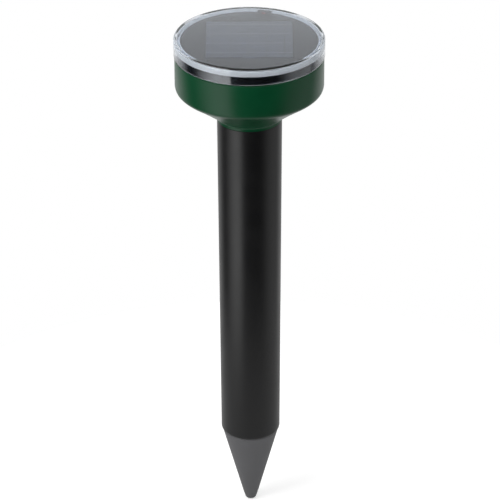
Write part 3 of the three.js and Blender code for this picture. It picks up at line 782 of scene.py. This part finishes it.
def at_lamp(name, width, near, far, z0, z1, corner, edge):
    """A block at the lamp's bearing, between two radii and two heights."""
    block = slab(name, [-width / 2, near, z0], [width / 2, far, z1], corner, edge)
    return turned_about(block, LED_TURN - math.pi / 2, (0, 0, 0))


def plate_mesh():
    corners = [
        [0, DISC_TOP],
        [DISC_R, DISC_TOP, 0.5],
        [DISC_R, PLATE_TOP],
        [PLATE_R, PLATE_TOP, 0.5],
        [PLATE_R, RIM + 0.3, 0.3],
        [49.2, RIM + 0.3],
        [49.2, SKIRT_FOOT + 2.7],
        [48, SKIRT_FOOT + 2.7],
        [48, SKIRT_FOOT + 1.1],
        [49.2, SKIRT_FOOT + 1.1],
        [49.2, SKIRT_FOOT, 0.3],
        [46.4, SKIRT_FOOT, 0.3],
        [46.4, PLATE_FOOT, 0.6],
        [39, PLATE_FOOT, 0.6],
        [39, CEILING, 0.6],
        [0, CEILING],
    ]
    plate = turned("panel_plate_moulding", corners, 192, closed=False)
    posts = together(*[rod(3.8, BOSS_TOP + 0.3, PLATE_FOOT + 1, x, y, 0.3) for x, y in LID_BOSSES])
    block = at_lamp("block", 10, 42, 49.6, PLATE_TOP - 0.4, BLOCK_TOP, 1.2, 0.5)
    reach = PANEL_HALF + 0.5
    recess = slab("recess", [-reach, -reach, DISC_TOP - 1.2], [reach, reach, DISC_TOP + 1], 0.6, 0.1)
    pilots = [rod(1.65, BOSS_TOP, RIM + 0.5, x, y, steps=24) for x, y in LID_BOSSES]
    lamp_hole = rod(1.85, PLATE_FOOT - 1, BLOCK_TOP + 1, LED_X, LED_Y, steps=32)
    return cut(merged(plate, posts, block), together(*pilots, recess, lamp_hole))


plate = place(plate_mesh(), PLATE_ABS, "lid", "black_plastic", "panel_plate", angle=30)
print("plate faces:", len(plate.data.polygons))

# %% The seal, the lamp, the panel and the reflector ring
lid_ring = ring_seal("lid_ring", 48.3, 49.2, SKIRT_FOOT + 1.3, SKIRT_FOOT + 2.5)
place(lid_ring, RUBBER, "lid", "rubber", "lid_seal")
lamp_corners = [
    [0, PLATE_TOP - 1.6],
    [1.5, PLATE_TOP - 1.6, 0.2],
    [1.5, BLOCK_TOP + 0.1, 1.2],
    [0, BLOCK_TOP + 0.1],
]
lamp = turned("indicator_lamp", lamp_corners, 40, closed=False, at=(LED_X, LED_Y, 0))
place(lamp, EPOXY, "lid", "led_resin", "indicator_led")
panel = slab("solar_cells_sheet", low("solar_panel"), high("solar_panel"), 0.8, 0.35)
place(panel, SOLAR, "lid", "solar_laminate", "solar_panel")
ring_out = high("reflector_ring")[0]
ring_corners = [
    [DISC_R + 0.3, PLATE_TOP + 0.3],
    [ring_out, PLATE_TOP + 0.3],
    [ring_out, PLATE_TOP + 1, 0.3],
    [DISC_R + 1, DISC_TOP, 0.4],
    [DISC_R + 0.3, DISC_TOP, 0.2],
]
notch = at_lamp("notch", 10.6, 42, 54, PLATE_TOP - 1, COVER_TOP, 0.5, 0.1)
bright_ring = cut(turned("reflector_ring_moulding", ring_corners, 192), notch)
place(bright_ring, WHITE_ABS, "lid", "white_plastic", "reflector_ring")
print("lid parts placed")

# %% [markdown]
# ## Clear cover
# The cover is an upturned dish of clear acrylic with a flat top and an upright wall, bonded over
# the plate. Its wall beside the air space is frosted on the inside, so it glows with the light
# that the panel needs, and below it the wall is polished, so the plate's black rim shows.

# %% Turn the cover and frost its inner wall
cover_corners = [
    [0, COVER_TOP],
    [COVER_R, COVER_TOP, 1.5],
    [COVER_R, COVER_FOOT, 0.2],
    [COVER_R - 2, COVER_FOOT, 0.2],
    [COVER_R - 2, PLATE_TOP + 0.2],
    [COVER_R - 2, COVER_TOP - 2.2, 0.8],
    [0, COVER_TOP - 2.2],
]
cover = place(
    turned("clear_cover_dish", cover_corners, 192, closed=False), ACRYLIC, "lid", "clear_plastic",
    "clear_cover", angle=40,
)
spots = face_middles(cover.data)
across = np.hypot(spots[:, 0], spots[:, 1])
inner_wall = (np.abs(across - (COVER_R - 2)) < 0.1) & (spots[:, 2] > PLATE_TOP + 0.2)
paint(cover, FROSTED, inner_wall)
print("frosted faces:", int(inner_wall.sum()))

# %% [markdown]
# ## Screws
# All the screws are one kind in four sizes: a domed steel head with a cross recess, and a shank
# with a rolled thread. The shank's radius dips once per pitch along a helix, so the thread is
# part of the surface. Each size is made once and copied to its places.

# %% One screw of each size, copied to its places
def screw_mesh(name, seat, end, shank, head, thickness, pitch=0.9):
    """A head of lathe rows, then shank rows whose radius is shank - d, where d is a triangle wave
    of (height / pitch - angle / full turn)."""
    up = 1 if end > seat else -1
    top = seat - up * thickness
    length = abs(end - seat)
    rows = [[0, 0], [0.5, 0.02], [0.8, 0.18], [0.95, 0.45], [1, 0.75], [1, 1]]
    head_r = [r * head for r, _ in rows] + [shank]
    head_z = [top + up * z * thickness for _, z in rows] + [seat]
    t = np.linspace(0, length - shank, int((length - shank) / pitch * 9))
    r = np.concatenate([head_r, np.full(len(t), shank), [shank * 0.55, 0]])
    z = np.concatenate([head_z, seat + up * t, [end - up * shank * 0.4, end]])
    angle = np.arange(28) / 28 * 2 * np.pi
    wave = 1 - np.abs(2 * ((z[:, None] / pitch - angle / (2 * np.pi)) % 1) - 1)
    on_thread = np.concatenate([np.zeros(len(head_r) + 2), np.ones(len(t) - 2), np.zeros(2)])
    radius = r[:, None] - 0.18 * shank * wave * on_thread[:, None]
    height = np.broadcast_to(z[:, None], radius.shape)
    grid = np.stack([radius * np.cos(angle), radius * np.sin(angle), height], axis=-1)
    made = mesh_from_grid(name, grid, wrap_u=False)
    z0, z1 = sorted([top + up * 0.6 * thickness, top - up])
    arm, wing = head * 0.62, head * 0.13
    recess = [
        slab("slot", [-arm, -wing, z0], [arm, wing, z1], 0.1, 0.05),
        slab("slot", [-wing, -arm, z0], [wing, arm, z1], 0.1, 0.05),
    ]
    return cut(made, *recess)


def screws(node_name, places, shank, head, thickness):
    """Copies of one screw; the lid's screws are the ones with the head below the shank."""
    z0, z1 = low(node_name + "_1")[2], high(node_name + "_1")[2]
    head_below = node_name == "lid_screw"
    seat, end = (z0 + thickness, z1) if head_below else (z1 - thickness, z0)
    first = screw_mesh(node_name, seat, end, shank, head, thickness)
    for i, (x, y) in enumerate(places, 1):
        one = turned_about(first.copy(), 0, (x, y, 0))
        one.name = f"{node_name}_{i}_threaded"
        place(one, STEEL, "head", "steel", f"{node_name}_{i}")
    bpy.data.meshes.remove(first)
    print(node_name, "x", len(places))


screws("clamp_screw", CLAMP_SCREWS, 0.8, 1.7, 1.1)
screws("board_screw", BOARD_POSTS, 1.0, 2.3, 1.5)
screws("tray_screw", TRAY_POSTS, 1.1, 2.5, 1.6)
screws("lid_screw", LID_BOSSES, 1.35, 2.8, 2.1)

# %% [markdown]
# ## Loudspeaker
# A pressed steel basket holds a ferrite ring magnet and a steel yoke. The paper cone moves on its
# own body, with the copper coil fixed to it. A black clamp ring holds the basket to its ledge.
# The parts are turned, and the coil's winding is a row of small ridges in its profile.

# %% Turn the basket, magnet, yoke and clamp
SPEAKER_R = high("speaker_frame")[0]
SPEAKER_FOOT = low("speaker_frame")[2]
SPEAKER_BACK = high("speaker_frame")[2]
frame_corners = [
    [SPEAKER_R, SPEAKER_FOOT, 0.2],
    [SPEAKER_R, SPEAKER_FOOT + 1.3, 0.3],
    [18.6, SPEAKER_FOOT + 1.3, 0.4],
    [12, SPEAKER_BACK, 0.6],
    [9.2, SPEAKER_BACK, 0.2],
    [9.2, SPEAKER_BACK - 1, 0.2],
    [11.4, SPEAKER_BACK - 1, 0.4],
    [17.4, SPEAKER_FOOT + 0.8, 0.4],
    [17.4, SPEAKER_FOOT, 0.2],
]
place(turned("basket", frame_corners, 96), STEEL, "head", "steel", "speaker_frame")
MAGNET_FOOT, MAGNET_TOP = low("speaker_magnet")[2], high("speaker_magnet")[2]
magnet_corners = [
    [4.9, MAGNET_FOOT, 0.3],
    [11, MAGNET_FOOT, 0.5],
    [11, MAGNET_TOP, 0.5],
    [4.9, MAGNET_TOP, 0.3],
]
place(turned("ring_magnet", magnet_corners, 96), FERRITE, "head", "ferrite", "speaker_magnet")
yoke_corners = [
    [0, MAGNET_FOOT],
    [3.5, MAGNET_FOOT, 0.3],
    [3.5, MAGNET_TOP + 0.3],
    [11, MAGNET_TOP + 0.3, 0.3],
    [11, MAGNET_TOP + 1.8, 0.4],
    [0, MAGNET_TOP + 1.8],
]
place(turned("yoke", yoke_corners, 96, closed=False), STEEL, "head", "steel", "speaker_yoke")
CLAMP_FOOT = SHELF + 0.3
clamp_corners = [
    [15.4, CLAMP_FOOT + 0.6, 0.2],
    [19, CLAMP_FOOT, 0.2],
    [19, SPEAKER_FOOT + 1.6],
    [21, SPEAKER_FOOT + 1.6, 0.2],
    [21, CLAMP_FOOT, 0.2],
    [25.8, CLAMP_FOOT, 0.3],
    [25.8, CLAMP_FOOT + 1.5, 0.4],
    [15.4, CLAMP_FOOT + 1.5, 0.3],
]
clamp_holes = [rod(1.15, CLAMP_FOOT - 1, CLAMP_FOOT + 2, x, y, steps=20) for x, y in CLAMP_SCREWS]
clamp = cut(turned("clamp_ring", clamp_corners, 96), together(*clamp_holes))
place(clamp, PLATE_ABS, "head", "black_plastic", "speaker_clamp")
print("loudspeaker fixed parts done")

# %% Turn the cone and the coil
cone_corners = [
    [0, SPEAKER_FOOT + 2.2],
    [2.6, SPEAKER_FOOT + 2.6, 0.5],
    [4.2, SPEAKER_FOOT + 3.8, 0.3],
    [14.4, SPEAKER_FOOT + 0.5, 0.4],
    [16, SPEAKER_FOOT + 0.5, 0.2],
    [16, SPEAKER_FOOT + 1, 0.2],
    [14.6, SPEAKER_FOOT + 1, 0.4],
    [4.4, SPEAKER_FOOT + 4.4, 0.2],
    [3.6, SPEAKER_FOOT + 4.4, 0.2],
    [2.3, SPEAKER_FOOT + 3.1, 0.4],
    [0, SPEAKER_FOOT + 2.7],
]
cone = turned("paper_cone", cone_corners, 96, closed=False)
place(cone, PAPER, "diaphragm", "paper_cone", "speaker_cone")
coil_low, coil_high = low("voice_coil")[2], high("voice_coil")[2]
ridge = np.linspace(coil_low, coil_high, 61)
coil_corners = [[4.4 - 0.06 * (i % 2), z] for i, z in enumerate(ridge)]
coil_corners = [[3.95, coil_low], *coil_corners, [3.95, coil_high]]
coil = turned("coil_winding", coil_corners, 64)
place(coil, COPPER, "diaphragm", "copper", "voice_coil", angle=60)
print("cone and coil done")

# %% [markdown]
# ## Circuit board and what stands on it
# The board carries the driver chip with its bent steel legs, a capacitor with a scored top,
# a wound choke between two flanges and a row of small resistors. A white nylon socket takes the
# plug of the lid's leads.

# %% The board and its parts
def cylinder_group(places, radius, z0, z1):
    return together(*[rod(radius, z0, z1, x, y, steps=24) for x, y in places])


board = slab("board_laminate", low("circuit_board"), high("circuit_board"), 1.5, 0.1)
board = cut(board, cylinder_group(BOARD_POSTS, 1.4, BOARD_FOOT - 1, BOARD_TOP + 1))
place(board, RESIST, "head", "board_laminate", "circuit_board")
chip_lo, chip_hi = low("driver_chip"), high("driver_chip")
chip = slab("chip_body", chip_lo, chip_hi, 0.3, 0.2)
place(chip, PLATE_ABS, "head", "black_plastic", "driver_chip")
chip_mid = (chip_lo + chip_hi) / 2
# Distance out from the chip's middle, and height above the board's clearance.
leg_path = [(2.9, 0.8), (3.4, 0.8), (3.7, 0.3), (3.9, 0.05), (4.4, 0.05)]
legs = []
for side in (-1, 1):
    for i in range(7):
        x = chip_mid[0] - 3.8 + i * 1.27
        run = [(x, side * y + chip_mid[1], BOARD_TOP + 0.2 + z) for y, z in leg_path]
        legs.append(swept("leg", smooth_path(run, 12), 0.18, 8))
place(together(*legs), STEEL, "head", "steel")
cap_lo, cap_hi = low("filter_capacitor"), high("filter_capacitor")
cap_x, cap_y = ((cap_lo + cap_hi) / 2)[:2]
cap_r = (cap_hi[0] - cap_lo[0]) / 2
can_corners = [
    [0, cap_lo[2]],
    [cap_r, cap_lo[2], 0.4],
    [cap_r, cap_lo[2] + 0.9, 0.2],
    [cap_r - 0.25, cap_lo[2] + 1.2, 0.2],
    [cap_r, cap_lo[2] + 1.5, 0.2],
    [cap_r, cap_hi[2], 0.5],
    [0, cap_hi[2]],
]
can = turned("capacitor_can", can_corners, 64, closed=False, at=(cap_x, cap_y, 0))
score_z0, score_z1 = cap_hi[2] - 0.15, cap_hi[2] + 1
scores = [
    slab("score", [cap_x - u, cap_y - v, score_z0], [cap_x + u, cap_y + v, score_z1], 0.05, 0.02)
    for u, v in ((2, 0.1), (0.1, 2))
]
place(cut(can, *scores), BLACK_PVC, "head", "ferrite", "filter_capacitor")
choke_lo, choke_hi = low("boost_coil"), high("boost_coil")
choke_x, choke_y = ((choke_lo + choke_hi) / 2)[:2]
choke_r = (choke_hi[0] - choke_lo[0]) / 2
wound = np.linspace(choke_lo[2] + 0.8, choke_hi[2] - 0.8, 25)
choke_corners = [
    [0, choke_lo[2]],
    [choke_r, choke_lo[2], 0.2],
    [choke_r, choke_lo[2] + 0.8, 0.2],
    *[[choke_r - 0.5 - 0.15 * (i % 2), z] for i, z in enumerate(wound)],
    [choke_r, choke_hi[2] - 0.8, 0.2],
    [choke_r, choke_hi[2], 0.2],
    [0, choke_hi[2]],
]
choke = turned("choke_winding", choke_corners, 64, closed=False, at=(choke_x, choke_y, 0))
place(choke, COPPER, "head", "copper", "boost_coil", angle=60)
chips = []
for i in range(9):
    x = -10 + i * 2.5
    near, far = [x, -15, BOARD_TOP + 0.1], [x + 1.6, -14.2, BOARD_TOP + 0.6]
    chips.append(slab("resistor", near, far, 0.15, 0.08))
place(together(*chips), FERRITE, "head", "ferrite")
print("board parts done")

# %% The socket and the plug
socket_lo, socket_hi = low("board_socket"), high("board_socket")
socket = slab("socket_shell", socket_lo, socket_hi, 0.5, 0.2)
mouth = slab(
    "mouth", socket_lo + [1.2, 1.2, 2.4], socket_hi + [-1.2, -1.2, 1], 0.3, 0.1,
)
place(cut(socket, mouth), NYLON, "head", "connector_plastic", "board_socket")
plug_lo, plug_hi = low("lid_plug"), high("lid_plug")
plug_mid = (plug_lo + plug_hi) / 2
nose = slab(
    "nose", [plug_mid[0] - 3, plug_mid[1] - 1.4, plug_lo[2]],
    [plug_mid[0] + 3, plug_mid[1] + 1.4, socket_hi[2] + 1], 0.3, 0.2,
)
grip = slab(
    "plug_shell", [plug_lo[0], plug_lo[1], socket_hi[2] + 0.3], plug_hi, 0.5, 0.25,
)
place(merged(grip, nose), NYLON, "lid", "connector_plastic", "lid_plug")
print("socket and plug done")

# %% [markdown]
# ## Battery tray, cells and contacts
# The tray is one black moulding on four ears. Its two bays each hold a cell in a green sleeve
# with steel ends. A spring and a flat plate touch the ends: one long plate joins the cells, and
# two short ones carry the leads. The cells are turned upright and then laid along the tray.

# %% The tray
TRAY_TOP = high("battery_tray")[2]
BAY_END, BAY_SIDE, TRAY_WALL = 28.85, 16.0, 1.6
tray = slab(
    "tray", [-BAY_END - TRAY_WALL, -BAY_SIDE - TRAY_WALL, TRAY_FOOT],
    [BAY_END + TRAY_WALL, BAY_SIDE + TRAY_WALL, TRAY_TOP], 1.5, 0.3,
)
ears = [rod(3.6, TRAY_FOOT, TRAY_FOOT + 1.6, x, y, 0.2) for x, y in TRAY_POSTS]
arms = [
    slab("arm", [-35.9, s * 12 - 2, TRAY_FOOT], [35.9, s * 12 + 2, TRAY_FOOT + 1.6], 0.5, 0.2)
    for s in (-1, 1)
]
bays = [
    slab("bay", [-BAY_END, y, TRAY_FOOT + TRAY_WALL], [BAY_END, y + 15.5, TRAY_TOP + 1], 0.6, 0.2)
    for y in (-BAY_SIDE, 0.5)
]
slot = slab("slot", [BAY_END - 1.2, -2, TRAY_FOOT + 1.7], [BAY_END, 2, TRAY_TOP + 1], 0.2, 0.1)
tray_holes = [rod(1.5, TRAY_FOOT - 1, TRAY_FOOT + 3, x, y, steps=24) for x, y in TRAY_POSTS]
tray = merged(tray, *arms, *ears)
tray.name = "tray_moulding"
tray = cut(tray, *bays, slot, *tray_holes)
place(tray, PLATE_ABS, "head", "black_plastic", "battery_tray")
print("tray done")


# %% Cells, springs and contact plates
def laid(mesh, toward, centre):
    """An upright mesh laid along x: its upper end points to +x for toward 1, -x for -1."""
    points = np.empty(len(mesh.vertices) * 3)
    mesh.vertices.foreach_get("co", points)
    x, y, z = points.reshape(-1, 3).T
    moved = np.stack([toward * z, y, -toward * x], axis=-1) + np.array(centre) * MM
    mesh.vertices.foreach_set("co", moved.ravel())
    return mesh


CELL_HALF = 24.75
CELL_R = 7.1
CELL_AXIS_Z = (low("cell_1")[2] + high("cell_1")[2]) / 2
for i, s in enumerate((-1, 1), 1):
    box_mid = (low(f"cell_{i}") + high(f"cell_{i}")) / 2
    cell_corners = [
        [0, -CELL_HALF],
        [CELL_R - 1.6, -CELL_HALF, 0.3],
        [CELL_R - 0.9, -CELL_HALF + 0.15, 0.1],
        [CELL_R, -CELL_HALF + 0.5, 0.4],
        [CELL_R, CELL_HALF - 2, 0.8],
        [CELL_R - 1.5, CELL_HALF - 1.45, 0.3],
        [2.7, CELL_HALF - 1.4, 0.2],
        [2.7, CELL_HALF, 0.4],
        [0, CELL_HALF],
    ]
    upright = turned(f"cell_{i}_sleeved", cell_corners, 96, closed=False)
    spots = face_middles(upright)
    ends = (np.hypot(spots[:, 0], spots[:, 1]) < 5.45) & (np.abs(spots[:, 2]) > CELL_HALF - 2.1)
    cell = place(laid(upright, -s, box_mid), SLEEVE, "head", "cell_wrap", f"cell_{i}")
    paint(cell, STEEL, ends)

for i, s in enumerate((-1, 1), 1):
    lo, hi = low(f"cell_spring_{i}"), high(f"cell_spring_{i}")
    start, stop = (lo[0] + 0.4, hi[0] - 0.4) if s < 0 else (hi[0] - 0.4, lo[0] + 0.4)
    middle_y = s * 8.4
    share = np.linspace(0, 1, 160)
    radius = 4.4 - 1.8 * share
    turn = share * 2.5 * 2 * np.pi
    x = start + share * (stop - start)
    y = middle_y + radius * np.cos(turn)
    z = CELL_AXIS_Z + radius * np.sin(turn)
    path = np.stack([x, y, z], axis=-1)
    coil_wire = swept(f"spring_{i}_coil", path, 0.4, 14)
    place(coil_wire, STEEL, "head", "steel", f"cell_spring_{i}", angle=60)

for name in ("bridge_plate", "contact_plate_1", "contact_plate_2"):
    sheet = slab(name + "_sheet", low(name), high(name), 0.19, 0.08)
    place(sheet, STEEL, "head", "steel", name)
print("cells, springs and plates done")

# %% [markdown]
# ## Switch and button
# The push switch hangs in the turret behind the neck. A rubber cap with a ring of ridges covers
# it, and a short nylon plunger carries the press to the switch.

# %% Switch, cap and plunger
sw_lo, sw_hi = low("power_switch"), high("power_switch")
well = rod(2.2, sw_lo[2] - 1, sw_lo[2] + 2.4, 0, SWITCH_Y, steps=40)
body_of_switch = cut(slab("switch_body", sw_lo, sw_hi, 0.6, 0.25), well)
place(body_of_switch, PLATE_ABS, "head", "ferrite", "power_switch")
cap_foot, cap_top = low("switch_cap")[2], high("switch_cap")[2]
cap_corners = [
    [0, cap_foot],
    [2.6, cap_foot, 0.3],
    [2.9, cap_foot + 0.3, 0.2],
    [3.3, cap_foot + 0.1, 0.2],
    [3.7, cap_foot + 0.4, 0.2],
    [4.2, cap_foot + 0.5, 0.4],
    [4.9, cap_foot + 1.4, 0.5],
    [4.9, cap_top - 1, 0.1],
    [6.1, cap_top - 1, 0.2],
    [6.1, cap_top, 0.3],
    [0, cap_top],
]
cap = turned("rubber_cap", cap_corners, 72, closed=False, at=(0, SWITCH_Y, 0))
place(cap, RUBBER, "button", "rubber", "switch_cap")
plunger = rod(
    1.6, low("switch_plunger")[2], high("switch_plunger")[2], 0, SWITCH_Y, 0.3, 40,
)
plunger.name = "plunger"
place(plunger, NYLON, "button", "connector_plastic", "switch_plunger")
print("switch done")

# %% [markdown]
# ## Leads
# Thin PVC leads, 1.4 mm thick, join the panel and the lamp to the plug, the loudspeaker to the
# board, the cells to the board and the switch to the board. They are held at both ends and lie
# in the bowl, so each one runs along a smooth path through a few given points.

# %% Sweep the leads
PLUG_TOP_Z = plug_hi[2] + 0.3
UNDER_PANEL = CEILING - 0.3
UNDER_EDGE = PLATE_FOOT - 0.3
PLUG_Y = plug_mid[1]


def lead(name, points, material, body, slot, node_name, radius=0.68):
    place(swept(name, smooth_path(points), radius, 16), material, body, slot, node_name, angle=60)


def solar_run(x, lean):
    return [
        (x, PLUG_Y, PLUG_TOP_Z),
        (x, PLUG_Y, PLUG_TOP_Z + 4),
        (x + lean, PLUG_Y + 2, PLUG_TOP_Z + 8),
        (x + lean, PLUG_Y, UNDER_PANEL - 2),
        (x + lean, PLUG_Y, UNDER_PANEL),
    ]


lamp_run = [
    (0, PLUG_Y, PLUG_TOP_Z),
    (0, PLUG_Y, PLUG_TOP_Z + 4),
    (3, PLUG_Y + 8, PLUG_TOP_Z + 7),
    (LED_X, LED_Y - 5, UNDER_EDGE - 2.4),
    (LED_X, LED_Y, UNDER_EDGE - 1.2),
    (LED_X, LED_Y, PLATE_TOP - 1.9),
]
speaker_run = [
    (2, -13.1, SPEAKER_BACK + 0.3),
    (2, -13.1, SPEAKER_BACK + 3),
    (2.5, -15, BOARD_FOOT - 2.3),
    (2.5, -15, BOARD_FOOT - 0.3),
]
LEAD_X = low("battery_lead_red")[0]
battery_run = [
    (LEAD_X + 1.6, 4, CELL_AXIS_Z + 1),
    (LEAD_X + 0.7, 4, CELL_AXIS_Z - 5),
    (LEAD_X + 0.7, 4, TRAY_FOOT - 2),
    (-25, 4, BOARD_TOP + 3.4),
    (-23, 4, BOARD_TOP + 0.3),
]
switch_run = [
    (2, SWITCH_Y, sw_hi[2] + 0.3),
    (2, SWITCH_Y, sw_hi[2] + 3.3),
    (7, SWITCH_Y - 5, BOARD_TOP + 4),
    (9, 27, BOARD_TOP + 3),
    (9, 25.5, BOARD_TOP + 0.3),
]


def mirrored_x(points):
    return [(-x, y, z) for x, y, z in points]


def mirrored_y(points):
    return [(x, -y, z) for x, y, z in points]


lead("solar_red", solar_run(-2.4, -3), RED_PVC, "lid", "red_insulation", "solar_lead_red")
lead("solar_black", solar_run(2.4, 3), BLACK_PVC, "lid", "black_insulation", "solar_lead_black")
lead("lamp_lead", lamp_run, BLACK_PVC, "lid", "black_insulation", "led_lead")
lead("speaker_red", mirrored_x(speaker_run), RED_PVC, "head", "red_insulation", "speaker_lead_red")
lead("speaker_black", speaker_run, BLACK_PVC, "head", "black_insulation", "speaker_lead_black")
lead("battery_red", mirrored_y(battery_run), RED_PVC, "head", "red_insulation", "battery_lead_red")
lead("battery_black", battery_run, BLACK_PVC, "head", "black_insulation", "battery_lead_black")
lead("switch_wire", switch_run, BLACK_PVC, "head", "black_insulation", "switch_lead")
print("leads done")

# %% [markdown]
# ## Stage
# The camera stands 2.3 m away with a long lens and looks down by 28 degrees. The stake meets a
# pale round floor. Around it is a plain studio: pale above and behind, a large soft light to the
# left, a weaker one to the right and a dim room in front, which leaves the front of dark plastic
# dark. What the camera sees directly, or through clear plastic, is the white backdrop.

# %% Camera
TARGET = np.array([0.0, 0.0, 0.2082])
DISTANCE, PITCH = 2.287, math.radians(28.2)
camera_data = bpy.data.cameras.new("camera")
camera_data.sensor_width = 36
camera_data.lens = 230.4
camera = bpy.data.objects.new("camera", camera_data)
camera.location = TARGET + DISTANCE * np.array([0, -math.cos(PITCH), math.sin(PITCH)])
camera.rotation_mode = "ZYX"
camera.rotation_euler = (math.pi / 2 - PITCH, 0, math.radians(-0.2))
bpy.context.scene.collection.objects.link(camera)
bpy.context.scene.camera = camera
print("camera at", [round(v, 3) for v in camera.location])

# %% Floor
FLOOR_R = 300
disc = turned("floor", [[0, -2], [FLOOR_R, -2], [FLOOR_R, -0.3], [0, -0.3]], 96, closed=False)
floor = bpy.data.objects.new("floor", disc)
bpy.context.scene.collection.objects.link(floor)
paint = bpy.data.materials.new("matt_white_paint")
paint.use_nodes = True
paint.node_tree.nodes.clear()
seen = node(paint, "ShaderNodeLightPath")
direct = node(
    paint, "ShaderNodeMath", {"operation": "MAXIMUM"},
    _0=seen.outputs["Is Camera Ray"], _1=seen.outputs["Is Transmission Ray"],
)
matt = node(paint, "ShaderNodeBsdfDiffuse", Color=linear("#d8d8d8"))
glow = node(paint, "ShaderNodeEmission", Strength=direct.outputs[0])
glow.inputs["Color"].default_value = (0.45, 0.45, 0.45, 1)
both = node(paint, "ShaderNodeAddShader", _0=matt.outputs[0], _1=glow.outputs[0])
node(paint, "ShaderNodeOutputMaterial", Surface=both.outputs[0])
disc.materials.append(paint)
print("floor radius", FLOOR_R, "mm")

# %% World: white backdrop for the camera, a studio for light and gloss
world = bpy.data.worlds.new("studio")
bpy.context.scene.world = world
world.use_nodes = True
world.node_tree.nodes.clear()


def between(x, a, b):
    """0 below a, 1 above b, and a smooth step from one to the other; a may be above b."""
    kind = {"interpolation_type": "SMOOTHSTEP"}
    return node(world, "ShaderNodeMapRange", kind, Value=x, _1=a, _2=b).outputs[0]


def math_of(operation, x, y):
    return node(world, "ShaderNodeMath", {"operation": operation}, _0=x, _1=y).outputs[0]


direction = node(world, "ShaderNodeTexCoord").outputs["Generated"]
xyz = node(world, "ShaderNodeSeparateXYZ", Vector=direction)
right, back, up = xyz.outputs["X"], xyz.outputs["Y"], xyz.outputs["Z"]
front = math_of("MULTIPLY", back, -1.0)
bearing = math_of("ARCTAN2", right, front)
left_side = math_of("MULTIPLY", between(bearing, -0.47, -0.55), between(bearing, -1.7, -0.8))
right_side = math_of("MULTIPLY", between(bearing, 0.7, 1.3), between(bearing, 2.1, 1.7))
not_above = between(up, 0.7, 0.3)
left_light = math_of("MULTIPLY", math_of("MULTIPLY", left_side, not_above), 3.2)
right_light = math_of("MULTIPLY", math_of("MULTIPLY", right_side, not_above), 0.9)
sky = math_of("MULTIPLY", between(up, 0.0, 0.3), 0.8)
behind = math_of("MULTIPLY", between(back, 0.2, 0.6), 1.0)
ground = math_of("MULTIPLY", between(up, -0.7, -0.9), 0.6)
room = math_of("MAXIMUM", math_of("MAXIMUM", sky, behind), math_of("MAXIMUM", ground, 0.03))
studio = math_of("MAXIMUM", room, math_of("MAXIMUM", left_light, right_light))
seen = node(world, "ShaderNodeLightPath")
bounces = math_of("ADD", seen.outputs["Diffuse Depth"], seen.outputs["Glossy Depth"])
straight = math_of("LESS_THAN", bounces, 0.5)
through = math_of("MULTIPLY", seen.outputs["Is Transmission Ray"], straight)
direct = math_of("MAXIMUM", seen.outputs["Is Camera Ray"], through)
backdrop = node(world, "ShaderNodeBackground", Strength=1.0)
backdrop.inputs["Color"].default_value = (1, 1, 1, 1)
around = node(world, "ShaderNodeBackground", Strength=studio)
mixed = node(world, "ShaderNodeMixShader", _0=direct, _1=around.outputs[0], _2=backdrop.outputs[0])
node(world, "ShaderNodeOutputWorld", Surface=mixed.outputs[0])
print("world ready")


# %% Soft key light above on the left
def soft_light(name, where, size, power):
    """A square lamp of that size in metres that points at the middle of the object."""
    data = bpy.data.lights.new(name, "AREA")
    data.size = size
    data.energy = power
    lamp = bpy.data.objects.new(name, data)
    lamp.location = where
    aim = Vector(TARGET) - lamp.location
    lamp.rotation_euler = aim.to_track_quat("-Z", "Y").to_euler()
    # The clear cover is a flat mirror: it would show the lamp as a hard white square.
    lamp.visible_glossy = False
    bpy.context.scene.collection.objects.link(lamp)


soft_light("key", (-0.9, -0.5, 1.5), 1.0, 14)
soft_light("fill", (1.2, -0.7, 1.1), 1.0, 6)
bpy.context.scene.view_settings.view_transform = "Standard"
print("lamps ready")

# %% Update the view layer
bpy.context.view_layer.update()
